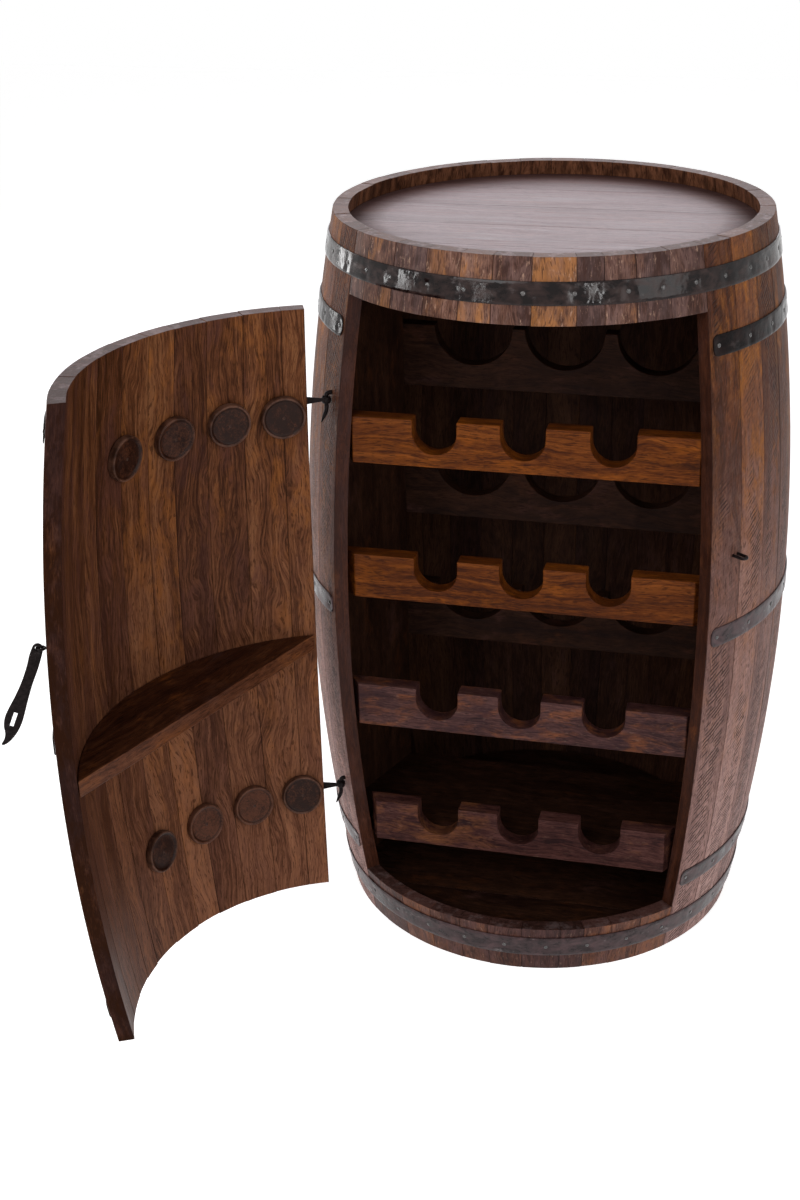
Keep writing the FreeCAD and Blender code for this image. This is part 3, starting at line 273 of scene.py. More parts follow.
class Graph(Nodes):
    """The nodes of a new material."""

    def __init__(self, name):
        self.material = bpy.data.materials.new(name)
        self.material.use_nodes = True
        super().__init__(self.material.node_tree)
        self.shader = self.tree.nodes["Principled BSDF"]

    def finish(self, colour, roughness, normal, specular, coat=0.0, tint=(1, 1, 1)):
        self.feed(self.shader.inputs["Base Color"], colour)
        self.feed(self.shader.inputs["Roughness"], roughness)
        self.feed(self.shader.inputs["Normal"], normal)
        self.shader.inputs["Specular IOR Level"].default_value = specular
        self.shader.inputs["Specular Tint"].default_value = (*tint, 1)
        self.shader.inputs["Coat Weight"].default_value = coat
        self.shader.inputs["Coat Roughness"].default_value = 0.25
        return self.material


SEAM_COLOUR = (0.009, 0.004, 0.003, 1)
SCUFF_COLOUR = (0.44, 0.27, 0.19, 1)
GRIME_AND_SHADE_COLOUR = (0.028, 0.013, 0.010, 1)
STROKE_COLOUR = (0.026, 0.013, 0.010, 1)
SCRATCH_COLOUR = (0.055, 0.027, 0.020, 1)
# colours of the painted light on the rim's inside above the head
LIT_RIM_COLOURS = ((0.050, 0.018, 0.009), (0.230, 0.090, 0.045))
STROKE_PITCH = 5.2 * MM
STROKE_LEAN = 0.75
SCRATCH_LEAN = 0.45
OIL_SHEEN = (1, 0.88, 0.94)


class Timber(Graph):
    """The nodes of one kind of timber.

    The grain attribute holds (across, deep, along) for each board, tone is the board's own shade
    and seam is how far its nearest joint is.
    """

    def __init__(self, name, swirl, fine):
        super().__init__(name)
        self.straight = self.attribute("grain", "Vector")
        self.tone = self.less(self.attribute("tone", "Fac"), 0.5)
        self.seam = self.attribute("seam", "Fac")
        parts = self.split(self.object_place())
        self.side, self.height = parts["X"], parts["Z"]

        wander = self.less(self.noise(self.straight, (17, 17, 9), 2, 0.5), 0.5)
        grain = self.vector("ADD", self.straight, self.merge(self.times(wander, 4 * swirl * MM)))
        self.broad = self.noise(grain, (40, 40, 2.4), 4, 0.6)
        self.streak = self.noise(grain, (210 * fine, 210 * fine, 8 * fine), 4, 0.65)
        self.fibre = self.noise(grain, (1100, 1100, 75), 3, 0.65)
        self.fleck = self.noise(grain, (700, 700, 110), 2, 0.5)
        self.mottle = self.noise(self.straight, (95, 95, 42), 4, 0.65, 0.3)

    def shade(self, blotch, tone_shade):
        """How light the grain is: streaks, fibres, blotches and the board's own tone."""
        return self.plus(self.times(self.broad, 0.26), self.times(self.streak, 0.46 - blotch),
                         self.times(self.fibre, 0.28), self.times(self.mottle, blotch),
                         self.times(self.tone, tone_shade))

    def oil(self, colour, shade, oil_colour, share, side, patch, tone_depth):
        """Areas of clear oil, at side 1, or of greyed oil, at side -1."""
        stretch = ((20 + side) * patch, 20 * patch, (9 + side) * patch)
        area = self.noise(self.straight, stretch, 3, 0.6, 0.5)
        area = self.plus(self.times(area, 0.55), self.times(self.mottle, 0.45),
                         self.times(self.tone, side * tone_depth))
        area = self.ramp(area, (0.60 - 0.25 * share, 0.0), (0.72 - 0.25 * share, 1.0))
        tinted = self.mix(1.0, self.ramp(shade, (0.38, 0.45), (0.62, 1.5)), oil_colour, "MULTIPLY")
        return self.stain(colour, area, 0.8, tinted)

    def fade(self, colour, shade, floor_sheen, pale):
        """Pale colours painted towards the barrel's foot: a painted reflection of the floor."""
        grey = self.plus(self.height, self.times(self.mottle, 0.5))
        grey = self.ramp(grey, (0.34, floor_sheen), (0.86, 0.0))
        return self.mix(grey, colour, self.ramp(shade, (0.40, pale[0]), (0.60, pale[1])))

    def rim(self, colour):
        """Lighter, warmer patches on the staves' inside where they stand above the head: painted light on
        the lit rim.
        """
        above = self.maths("GREATER_THAN", self.height, HEAD_TOP)
        patches = self.ramp(self.mottle, (0.38, LIT_RIM_COLOURS[0]), (0.62, LIT_RIM_COLOURS[1]))
        return self.stain(colour, above, 0.6, patches)

    def rim_grime_and_shade(self, colour, roughness, specular, reach):
        """Grime and painted shade, with duller wax, on a head towards the staves at that reach from the
        barrel's axis.
        """
        flat = self.vector("MULTIPLY", self.object_place(), (1 / reach, 1 / reach, 0))
        far = self.plus(self.vector("DOT_PRODUCT", flat, flat), self.times(self.mottle, 0.12))
        dull = self.ramp(far, (0.50, 0.0), (1.02, 1.0))
        polish = self.less(specular, self.times(dull, 0.85 * specular))
        self.feed(self.shader.inputs["Specular IOR Level"], polish)
        # darker towards the staves: partly grime, partly painted shade where the head meets them
        grime_and_shade = self.ramp(far, (0.74, 0.0), (1.02, 1.0))
        return self.stain(colour, grime_and_shade, 0.7, GRIME_AND_SHADE_COLOUR), self.plus(roughness, self.times(grime_and_shade, 0.35))

    def pores(self, colour, dark):
        """Open pores, and the bump of pores and fibres."""
        pores = self.ramp(self.fleck, (0.36, 1.0), (0.43, 0.0))
        colour = self.stain(colour, pores, 0.65, (*dark, 1))
        height = self.less(self.times(self.fibre, 0.6), self.times(pores, 0.5))
        return colour, self.bump(height, 0.16 * MM, 0.8)

    def strokes(self):
        """Slanting strokes of the saw, in a column down the middle of each stave."""
        parts = self.split(self.straight)
        across, along = parts["X"], parts["Z"]
        lean = self.times(self.maths("SIGN", self.side), STROKE_LEAN)
        over = self.less(along, self.times(across, lean))
        run = self.plus(across, self.times(along, lean))
        wander = self.times(self.noise(self.straight, (60, 60, 25), 2), 6 * MM)
        phase = self.times(self.plus(over, wander), math.tau / STROKE_PITCH)
        wave = self.times(self.plus(self.maths("SINE", phase), 1.0), 0.5)
        wave = self.ramp(wave, (0.50, 0.0), (0.90, 1.0))
        ragged = self.noise(self.merge(over, run), (180, 50, 0), 1, 0.5)
        ragged = self.ramp(ragged, (0.40, 0.0), (0.50, 1.0))
        edge = self.plus(self.seam, self.times(self.noise(self.straight, (90, 90, 60), 2), 8 * MM))
        column = self.ramp(self.times(edge, 1 / (20 * MM)), (0.50, 0.0), (0.66, 1.0))
        # the staves are smoother higher up, most of all on the barrel's right
        planed = self.plus(self.times(self.maths("GREATER_THAN", self.side, 0.0), 0.20), 0.10)
        where = self.less(self.noise(self.straight, (22, 22, 6), 2, 0.5), self.times(self.height, planed))
        where = self.ramp(where, (0.34, 0.0), (0.42, 1.0))
        return self.times(self.times(self.times(wave, ragged), where), column)

    def scratches(self):
        """Faint scratches close together, all over the sawn face."""
        over = self.vector("DOT_PRODUCT", self.straight, (-SCRATCH_LEAN, 0.0, 1.0))
        run = self.vector("DOT_PRODUCT", self.straight, (1.0, 0.0, SCRATCH_LEAN))
        return self.ramp(self.noise(self.merge(over, run), (620, 55, 0), 3, 0.7), (0.40, 1.0), (0.60, 0.0))

    def sawn(self, colour, normal, saw):
        """The saw's strokes and scratches, as colour and as bump."""
        strokes = self.strokes()
        scratches = self.scratches()
        colour = self.stain(colour, scratches, 0.35 * saw, SCRATCH_COLOUR)
        colour = self.stain(colour, strokes, saw, STROKE_COLOUR)
        depth = self.plus(strokes, self.times(scratches, 0.4))
        return colour, self.bump(self.less(1.0, depth), 0.8 * MM, 0.8, normal)

    def scuffs(self, colour, worn):
        """Pale, ragged rubbed spots."""
        scuff = self.noise(self.straight, (260, 260, 90), 5, 0.75)
        scuff = self.ramp(scuff, (0.58, 0.0), (0.70, 1.0))
        return self.stain(colour, scuff, worn, SCUFF_COLOUR)

    def joints(self, colour, seam_depth):
        """Dark, uneven lines where boards meet."""
        uneven = self.times(self.noise(self.straight, (300, 300, 45), 3), 3.0 * MM)
        joint = self.times(self.plus(self.seam, uneven), 1 / (4.0 * MM))
        joint = self.ramp(joint, (0.40, seam_depth), (0.60, 0.0))
        joint = self.times(joint, self.ramp(self.broad, (0.35, 1.0), (0.62, 0.45)))
        return self.stain(colour, joint, 0.8, SEAM_COLOUR)


def wood(name, dark, middle, light, honey, plum, honey_share, plum_share, *, gloss, specular,
         saw=0.0, coat=0.0, worn=0.0, seam_depth=1.0, swirl=9.0, tone_depth=0.1, floor_sheen=0.0, patch=1.0,
         rim=False, tone_shade=0.1, blotch=0.22, contrast=1.0, grime_and_shade_reach=0.0, fine=1.0, pale=None):
    """Oiled timber.

    dark, middle and light are the grain's colours, and contrast is how far apart they lie. honey
    and plum are the colours of its areas of clear and of greyed oil, with how much of the board
    each takes, and patch makes those areas smaller. swirl is how far the grain wanders, in
    millimetres, and fine narrows its streaks. blotch is the share of the shade that isn't
    streaks. tone_depth and tone_shade are how much the boards differ in oil and in shade.
    floor_sheen is how much of the pale colours is painted towards the barrel's foot, a painted
    reflection of the floor. saw, worn and seam_depth are how strong the saw's strokes, the scuffs
    and the joints are. gloss is the roughness. With rim, what stands above the head gets lighter
    patches of painted light, and grime and painted shade gather towards grime_and_shade_reach.
    """
    timber = Timber(name, swirl, fine)
    shade = timber.shade(blotch, tone_shade)
    stops = (0.5 - 0.10 / contrast, dark), (0.5, middle), (0.5 + 0.11 / contrast, light)
    colour = timber.ramp(shade, *stops)
    colour = timber.oil(colour, shade, honey, honey_share, 1, patch, tone_depth)
    colour = timber.oil(colour, shade, plum, plum_share, -1, patch, tone_depth)
    # pale colours towards the foot, painted as the floor's reflection
    if floor_sheen > 0:
        colour = timber.fade(colour, shade, floor_sheen, pale)
    if rim:
        colour = timber.rim(colour)
    roughness = timber.ramp(timber.streak, (0.3, gloss - 0.06), (0.7, gloss + 0.14))
    # the head's edge: grime and painted shade by the staves
    if grime_and_shade_reach > 0:
        colour, roughness = timber.rim_grime_and_shade(colour, roughness, specular, grime_and_shade_reach)
    colour, normal = timber.pores(colour, dark)
    if saw > 0:
        colour, normal = timber.sawn(colour, normal, saw)
    if worn > 0:
        colour = timber.scuffs(colour, worn)
    colour = timber.joints(colour, seam_depth)
    return timber.finish(colour, roughness, normal, specular, coat, OIL_SHEEN)


def end_grain(name, dark, light, pale, specular):
    """The sawn ends of the staves: rings, specks and straight saw scratches."""
    graph = Graph(name)
    place = graph.object_place()
    tone = graph.attribute("tone", "Fac")
    rings = graph.noise(place, (260, 260, 260), 4, 0.65, 1.2)
    specks = graph.noise(place, (1500, 1500, 1500), 2)
    scratch = graph.noise(place, (60, 900, 60), 3, 0.7, 0.4)
    shade = graph.plus(graph.times(rings, 0.5), graph.times(scratch, 0.35), graph.times(tone, 0.18))
    colour = graph.ramp(shade, (0.42, dark), (0.62, light))
    # pale mauve patches: partly wear, partly a painted sheen
    worn = graph.ramp(graph.noise(place, (70, 70, 70), 3, 0.7), (0.52, 0.0), (0.66, pale))
    colour = graph.mix(worn, colour, (0.36, 0.27, 0.27, 1))
    colour = graph.mix(graph.ramp(specks, (0.34, 0.6), (0.44, 0.0)), colour, (*dark, 1))
    height = graph.plus(graph.times(scratch, 0.6), graph.times(specks, 0.4))
    normal = graph.bump(height, 0.25 * MM, 0.8)
    return graph.finish(colour, graph.ramp(rings, (0.3, 0.42), (0.7, 0.62)), normal, specular)


def iron(name, dark, light, roughness, *, worn, specular, scale=1.0):
    """Blackened iron: a glossy dark skin, mottled, with pale patches where it is rubbed, which on the top
    hoop and the lower hoops are partly painted highlights and reflections.
    """
    graph = Graph(name)
    place = graph.object_place()
    mottle = graph.noise(place, (55 * scale, 55 * scale, 90 * scale), 5, 0.65, 0.4)
    fine = graph.noise(place, (900, 900, 900), 3, 0.6)
    dents = graph.noise(place, (80 * scale, 80 * scale, 70 * scale), 2, 0.45)
    colour = graph.ramp(mottle, (0.42, dark), (0.64, light))
    # pale patches: rubbed metal, and on the top and lower hoops partly painted highlights and reflections
    bare_and_glint = graph.ramp(graph.noise(place, (28, 28, 60), 5, 0.75, 0.3), (0.60, 0.0), (0.70, worn))
    colour = graph.mix(bare_and_glint, colour, (0.34, 0.30, 0.30, 1))
    rough = graph.ramp(mottle, (0.38, roughness - 0.06), (0.66, roughness + 0.16))
    normal = graph.bump(fine, 0.05 * MM, 0.4)
    normal = graph.bump(dents, 1.3 * MM, 0.6, normal)
    return graph.finish(colour, rough, normal, specular)


DISC_RADIUS = 22.5 * MM
TOOL_PITCH = 1.3 * MM


def turned_wood(name, dark, light):
    """A lathe-turned disc of plain grain, with the tool's rings, a groove darkened as painted shade
    and a rim lighter partly from rubbing and partly as a painted highlight.

    Here the seam attribute holds how far each point is from the disc's axis.
    """
    graph = Graph(name)
    grain = graph.attribute("grain", "Vector")
    reach = graph.attribute("seam", "Fac")
    tone = graph.attribute("tone", "Fac")
    streak = graph.noise(grain, (320, 320, 60), 4, 0.6, 1.4)
    blotch = graph.noise(grain, (70, 70, 70), 3, 0.6)
    rings = graph.maths("SINE", graph.times(reach, math.tau / TOOL_PITCH))
    shade = graph.plus(graph.times(streak, 0.6), graph.times(blotch, 0.35),
                       graph.times(graph.less(tone, 0.5), 0.25))
    colour = graph.ramp(shade, (0.38, dark), (0.60, light))
    speck = graph.noise(grain, (1500, 1500, 300), 2)
    colour = graph.mix(graph.ramp(speck, (0.33, 0.5), (0.44, 0.0)), colour, (*dark, 1))
    out = graph.times(reach, 1 / DISC_RADIUS)
    # painted shade in the turned groove
    groove = graph.ramp(out, (0.80, 0.0), (0.835, 0.8), (0.87, 0.0))
    colour = graph.mix(groove, colour, (*dark, 1))
    # the rim is lighter partly from rubbing, partly as a painted highlight
    rubbed = graph.times(graph.ramp(out, (0.87, 0.0), (0.93, 1.0)),
                         graph.ramp(blotch, (0.40, 0.15), (0.62, 0.7)))
    colour = graph.mix(rubbed, colour, (0.150, 0.070, 0.045, 1))
    normal = graph.bump(rings, 0.05 * MM, 0.5)
    normal = graph.bump(streak, 0.15 * MM, 0.6, normal)
    return graph.finish(colour, graph.ramp(streak, (0.3, 0.30), (0.7, 0.46)), normal, 0.1, 0.03)


HONEY = (0.265, 0.092, 0.016, 1)
AMBER = (0.170, 0.050, 0.010, 1)
PLUM = (0.085, 0.045, 0.042, 1)
DEEP_PLUM = (0.040, 0.017, 0.014, 1)

STAVE_OUTSIDE = wood("stave_outside", (0.038, 0.012, 0.005), (0.124, 0.041, 0.017), (0.240, 0.090, 0.038),
                     HONEY, (0.080, 0.034, 0.027, 1), 0.40, 0.40, saw=0.95, gloss=0.46, specular=0.06,
                     worn=0.25, floor_sheen=0.95, contrast=1.2, tone_depth=0.03,
                     pale=((0.28, 0.155, 0.138), (0.60, 0.38, 0.345)))
STAVE_INSIDE = wood("stave_inside", (0.014, 0.005, 0.003), (0.038, 0.015, 0.008), (0.075, 0.032, 0.017),
                    (0.060, 0.022, 0.008, 1), DEEP_PLUM, 0.1, 0.3, gloss=0.5, specular=0.06, rim=True)
STAVE_EDGE = wood("stave_edge", (0.022, 0.007, 0.004), (0.055, 0.017, 0.008), (0.100, 0.035, 0.018),
                  AMBER, DEEP_PLUM, 0.2, 0.3, gloss=0.38, specular=0.12, seam_depth=0.0)
RIM_OUTSIDE = wood("rim_outside", (0.036, 0.014, 0.009), (0.112, 0.050, 0.032), (0.225, 0.120, 0.088),
                   (0.225, 0.088, 0.024, 1), (0.108, 0.060, 0.053, 1), 0.45, 0.4, gloss=0.36,
                   specular=0.12, worn=0.8, tone_depth=0.2, patch=1.4, contrast=1.3, blotch=0.34)
SILL_OUTSIDE = wood("sill_outside", (0.026, 0.009, 0.006), (0.085, 0.033, 0.022), (0.170, 0.078, 0.055),
                    (0.170, 0.062, 0.026, 1), (0.075, 0.036, 0.034, 1), 0.3, 0.5, gloss=0.40, specular=0.12,
                    worn=0.4, tone_depth=0.2, patch=1.4, contrast=1.2)
DOOR_INSIDE = wood("door_inside", (0.034, 0.011, 0.004), (0.112, 0.038, 0.015), (0.205, 0.083, 0.034),
                   (0.195, 0.066, 0.017, 1), (0.078, 0.028, 0.019, 1), 0.36, 0.36, gloss=0.40,
                   specular=0.045, swirl=12, seam_depth=1.0, tone_depth=0.18, tone_shade=0.10,
                   blotch=0.10, contrast=1.3, patch=1.3, fine=1.7, floor_sheen=0.62,
                   pale=((0.085, 0.030, 0.016), (0.300, 0.130, 0.075)))
DOOR_EDGE_WOOD = wood("door_edge_wood", (0.020, 0.006, 0.002), (0.062, 0.020, 0.007), (0.125, 0.046, 0.016),
                      (0.190, 0.066, 0.014, 1), DEEP_PLUM, 0.40, 0.20, gloss=0.4, specular=0.03,
                      seam_depth=0.0, contrast=1.3, blotch=0.3)
HEAD_WOOD = wood("head_wood", (0.050, 0.021, 0.019), (0.105, 0.050, 0.046), (0.185, 0.100, 0.092),
                 (0.135, 0.058, 0.040, 1), PLUM, 0.2, 0.3, gloss=0.36, specular=0.55, coat=0.1,
                 seam_depth=0.35, swirl=6, blotch=0.1, grime_and_shade_reach=END_RADIUS - WALL)
RACK_HONEY = wood("rack_honey", (0.028, 0.007, 0.002), (0.090, 0.022, 0.004), (0.175, 0.050, 0.009),
                  (0.180, 0.048, 0.005, 1), (0.045, 0.012, 0.004, 1), 0.35, 0.3, gloss=0.34,
                  specular=0.05, coat=0.03, seam_depth=0.0, swirl=7, blotch=0.12, contrast=1.2)
RACK_MOTTLED = wood("rack_mottled", (0.016, 0.006, 0.006), (0.052, 0.020, 0.018), (0.110, 0.050, 0.042),
                    (0.160, 0.050, 0.017, 1), (0.026, 0.010, 0.012, 1), 0.45, 0.45, gloss=0.34,
                    specular=0.08, coat=0.05, worn=0.15, seam_depth=0.0, patch=3.0, contrast=1.2)
RACK_PLUM = wood("rack_plum", (0.014, 0.005, 0.005), (0.048, 0.017, 0.014), (0.092, 0.038, 0.032),
                 (0.140, 0.050, 0.018, 1), (0.040, 0.015, 0.014, 1), 0.34, 0.3, gloss=0.38,
                 specular=0.07, worn=0.1, seam_depth=0.0, swirl=9, contrast=1.3, patch=0.8)
SHELF_WOOD = wood("shelf_wood", (0.014, 0.004, 0.002), (0.046, 0.014, 0.006), (0.095, 0.034, 0.014),
                  AMBER, DEEP_PLUM, 0.2, 0.3, gloss=0.36, specular=0.06, coat=0.02, seam_depth=0.0)
SHELF_FRONT = wood("shelf_front", (0.030, 0.009, 0.004), (0.105, 0.035, 0.015), (0.170, 0.070, 0.034),
                   AMBER, (0.060, 0.024, 0.016, 1), 0.3, 0.3, gloss=0.36, specular=0.07, coat=0.03,
                   seam_depth=0.0)
# a very dark copy of the wood for the base head, rear bars, side panels and rack shelf deep in the cabinet:
# painted shade
SHADED_INNER_WOOD = wood("shaded_inner_wood", (0.008, 0.003, 0.002), (0.022, 0.009, 0.005), (0.045, 0.018, 0.010),
                  (0.045, 0.014, 0.005, 1), DEEP_PLUM, 0.2, 0.2, gloss=0.42, specular=0.05, seam_depth=0.3)
END_GRAIN = end_grain("end_grain", (0.050, 0.022, 0.015), (0.190, 0.105, 0.080), 0.5, 0.3)
SILL_END_GRAIN = end_grain("sill_end_grain", (0.018, 0.007, 0.005), (0.080, 0.036, 0.030), 0.15, 0.12)
DOOR_END_GRAIN = end_grain("door_end_grain", (0.045, 0.022, 0.018), (0.170, 0.105, 0.095), 0.4, 0.2)
HOOP_IRON = iron("hoop_iron", (0.005, 0.003, 0.003), (0.018, 0.009, 0.008), 0.14, worn=0.08, specular=0.08)
# the top hoop's lighter colour and pale patches are partly painted highlights
TOP_HOOP_IRON = iron("top_hoop_iron", (0.006, 0.003, 0.003), (0.030, 0.016, 0.014), 0.11, worn=0.14,
                     specular=0.20)
# lighter iron with more pale patches for the lower hoops: partly wear, partly a painted reflection of the
# floor
WORN_SHEEN_HOOP_IRON = iron("worn_sheen_hoop_iron", (0.020, 0.010, 0.011), (0.080, 0.045, 0.047), 0.30, worn=0.5,
                      specular=0.2)
NAIL_IRON = iron("nail_iron", (0.012, 0.010, 0.009), (0.060, 0.050, 0.048), 0.14, worn=0.2,
                 specular=0.7, scale=3.0)
FITTING_IRON = iron("fitting_iron", (0.005, 0.003, 0.003), (0.016, 0.011, 0.011), 0.34, worn=0.1,
                    specular=0.06, scale=4.0)
DISC_WOOD = turned_wood("disc_wood", (0.014, 0.004, 0.002), (0.092, 0.030, 0.014))
PLUG_WOOD = turned_wood("plug_wood", (0.030, 0.013, 0.009), (0.090, 0.045, 0.030))

# ---------------------------------------------------------------- mesh helpers

NO_SEAM = 1.0


def new_object(name, data):
    """An object in the scene that holds a mesh, a lamp or a camera."""
    thing = bpy.data.objects.new(name, data)
    bpy.context.scene.collection.objects.link(thing)
    return thing


def mesh_object(name, points, faces, materials, grain, tone=0.5, seam=NO_SEAM, slots=None):
    """A mesh piece, with the attributes that its materials read. slots has a number for each face."""
    mesh = bpy.data.meshes.new(name)
    mesh.from_pydata([tuple(point) for point in points], [], faces)
    for material in materials:
        mesh.materials.append(material)
    if slots:
        mesh.polygons.foreach_set("material_index", slots)
    attribute = mesh.attributes.new("grain", "FLOAT_VECTOR", "POINT")
    attribute.data.foreach_set("vector", np.array(grain, float).ravel())
    for key, values in (("tone", tone), ("seam", seam)):
        attribute = mesh.attributes.new(key, "FLOAT", "POINT")
        attribute.data.foreach_set("value", np.broadcast_to(np.array(values, float), len(points)).ravel())
    mesh.update()
    mesh.shade_smooth()
    return new_object(name, mesh)


def prism_faces(total):
    """The faces between an outline of so many corners and the same outline further down."""
    faces = [list(range(total)), list(range(2 * total - 1, total - 1, -1))]
    for corner in range(total):
        following = (corner + 1) % total
        faces.append([corner, corner + total, following + total, following])
    return faces


def tube_faces(rings, spokes, is_round=False):
    """The faces of a tube that goes round to its own start, or that is closed at both ends."""
    faces = []
    for ring in range(rings if is_round else rings - 1):
        first = ring * spokes
        second = (ring + 1) % rings * spokes
        for spoke in range(spokes):
            following = (spoke + 1) % spokes
            faces.append([first + spoke, first + following, second + following, second + spoke])
    if not is_round:
        last = (rings - 1) * spokes
        faces += [list(range(spokes))[::-1], list(range(last, last + spokes))]
    return faces


def face_outward(piece, merge=False):
    """Turns all faces outward, after merging the corners that share a place."""
    mesh = bmesh.new()
    mesh.from_mesh(piece.data)
    if merge:
        bmesh.ops.remove_doubles(mesh, verts=mesh.verts, dist=0.01 * MM)
    bmesh.ops.recalc_face_normals(mesh, faces=mesh.faces)
    mesh.to_mesh(piece.data)
    mesh.free()


def sharpen(piece, degrees):
    """Keeps edges sharp where the faces meet at more than that angle."""
    piece.data.set_sharp_from_angle(angle=math.radians(degrees))


def soften(piece, width):
    """Rounds the piece's sharp edges."""
    bevel = piece.modifiers.new("soft_edges", "BEVEL")
    bevel.width = width
    bevel.segments = 2
    bevel.limit_method = "ANGLE"
    bevel.angle_limit = math.radians(40)
    bevel.harden_normals = True
    bevel.use_clamp_overlap = True
    return piece


def place(piece, body, slot, node, matrix=None):
    """Puts a piece on its body, in place of the CAD node."""
    if matrix is not None:
        piece.data.transform(matrix)
        piece.data.update()
    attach(piece, body)
    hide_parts(node)


def join(name, pieces):
    """One object of several, with their modifiers applied."""
    view = bpy.context.evaluated_depsgraph_get()
    view.update()
    for piece in pieces:
        piece.data = bpy.data.meshes.new_from_object(piece.evaluated_get(view))
        piece.modifiers.clear()
    with bpy.context.temp_override(active_object=pieces[0], selected_editable_objects=pieces):
        bpy.ops.object.join()
    pieces[0].name = name
    pieces[0].data.name = name
    return pieces[0]


def wobble(*values):
    """A smooth value between -1 and 1 that is the same on each run."""
    return noise.noise(Vector(values))


def grain_shift(seed):
    """Moves each board to its own place in the timber."""
    dice = random.Random(seed)
    return Vector((dice.uniform(-3, 3), dice.uniform(-3, 3), dice.uniform(-3, 3)))


# ---------------------------------------------------------------- boards of the shell

STAVE_ROWS = 36
CUT_STAVE_ROWS = 8
STAVE_JOINT = 0.02 * MM
STAVE_ROUNDING = 0.55 * MM
STAVE_TRIM = 0.5 * MM
STAVE_SINK = 0.35 * MM
LINTEL_SEED = 80
SILL_SEED = 60
EDGE_COLUMN = 2.5 * MM


def stave_columns(start, end):
    """Azimuths across a stave: its two edges, a line close inside each and two between."""
    inset = bilge_degrees(EDGE_COLUMN)
    return [start, start + inset, (start * 2 + end) / 3, (start + end * 2) / 3, end - inset, end]


def stave_faces(rows, width):
    """The faces of a stave and their slots: 0 outside, 1 inside, 2 its sides and 3 its ends."""
    layer = rows * width

    def corner(is_inner, row, column):
        return is_inner * layer + row * width + column

    faces, slots = [], []
    for row in range(rows - 1):
        for column in range(width - 1):
            outer = [corner(0, row, column), corner(0, row, column + 1),
                     corner(0, row + 1, column + 1), corner(0, row + 1, column)]
            faces += [outer, [index + layer for index in reversed(outer)]]
            slots += [0, 1]
        for column, turn in ((0, 1), (width - 1, -1)):
            side = [corner(0, row, column), corner(0, row + 1, column),
                    corner(1, row + 1, column), corner(1, row, column)]
            faces.append(side[::turn])
            slots.append(2)
    for row, turn in ((0, -1), (rows - 1, 1)):
        for column in range(width - 1):
            cap = [corner(0, row, column), corner(0, row, column + 1),
                   corner(1, row, column + 1), corner(1, row, column)]
            faces.append(cap[::turn])
            slots.append(3)
    return faces, slots


def stave(name, start, end, low, high, seed, wall=WALL, sides=(STAVE_OUTSIDE, STAVE_INSIDE),
          edge=STAVE_EDGE, ends=END_GRAIN, rows=STAVE_ROWS, tone=None):
    """A bent board between two azimuths, with its face and its wall slightly uneven."""
    dice = random.Random(seed)
    tone = dice.random() if tone is None else tone
    shift = grain_shift(seed)
    low += dice.uniform(0, STAVE_TRIM)
    high -= dice.uniform(0, STAVE_TRIM)
    sink = dice.uniform(0, STAVE_SINK)
    start += bilge_degrees(STAVE_JOINT)
    end -= bilge_degrees(STAVE_JOINT)
    columns = stave_columns(start, end)
    points, grain, seams = [], [], []
    for is_inner in (False, True):
        for height in np.linspace(low, high, rows):
            for azimuth in columns:
                depth = sink + STAVE_SINK * abs(wobble(azimuth * 0.35, height * 9, seed * 1.7))
                reach = radius_at(height, -wall + depth if is_inner else -depth)
                points.append(polar(azimuth, reach, height))
                across = round_barrel((start + end) / 2, azimuth)
                grain.append(Vector((across, wall if is_inner else 0, height)) + shift)
                seams.append(min(round_barrel(start, azimuth), round_barrel(azimuth, end)))
    faces, slots = stave_faces(rows, len(columns))
    piece = mesh_object(name, points, faces, [*sides, edge, ends], grain, tone, seams, slots)
    return soften(piece, STAVE_ROUNDING)


def side_staves():
    width = (WHOLE_TURN - 2 * OPENING_EDGE) / SIDE_STAVE_COUNT
    for group, node in enumerate(SIDE_NODES):
        boards = []
        for index in range(STAVES_PER_NODE):
            number = group * STAVES_PER_NODE + index
            start = OPENING_EDGE + number * width
            boards.append(stave("%s_%d" % (node, index), start, start + width, 0, HEIGHT, number + 1))
        place(join(node + "_boards", boards), "barrel", "stave_wood", node)


def cut_staves():
    """The short ends of the staves above and below the doorway."""
    edges = [-OPENING_EDGE] + DOOR_EDGES[1:-1] + [OPENING_EDGE]
    for node, seed, low, high, outside, ends in (
            ("lintel_staves", LINTEL_SEED, OPENING_HIGH, HEIGHT, RIM_OUTSIDE, END_GRAIN),
            ("sill_staves", SILL_SEED, 0, OPENING_LOW, SILL_OUTSIDE, SILL_END_GRAIN)):
        boards = []
        for index, (start, end) in enumerate(zip(edges, edges[1:])):
            boards.append(stave("%s_%d" % (node, index), start, end, low, high, seed + index,
                                sides=(outside, STAVE_INSIDE), ends=ends, rows=CUT_STAVE_ROWS))
        place(join(node + "_boards", boards), "barrel", "stave_wood", node)


# ---------------------------------------------------------------- heads

HEAD_BOARDS = 5
HEAD_GAP = 0.3 * MM
HEAD_ROUNDING = 0.35 * MM
BOARD_JOINT = 0.1 * MM
ARC_STEPS = 16
HEAD_SEED = 300
HEAD_TONE_SEED = 310


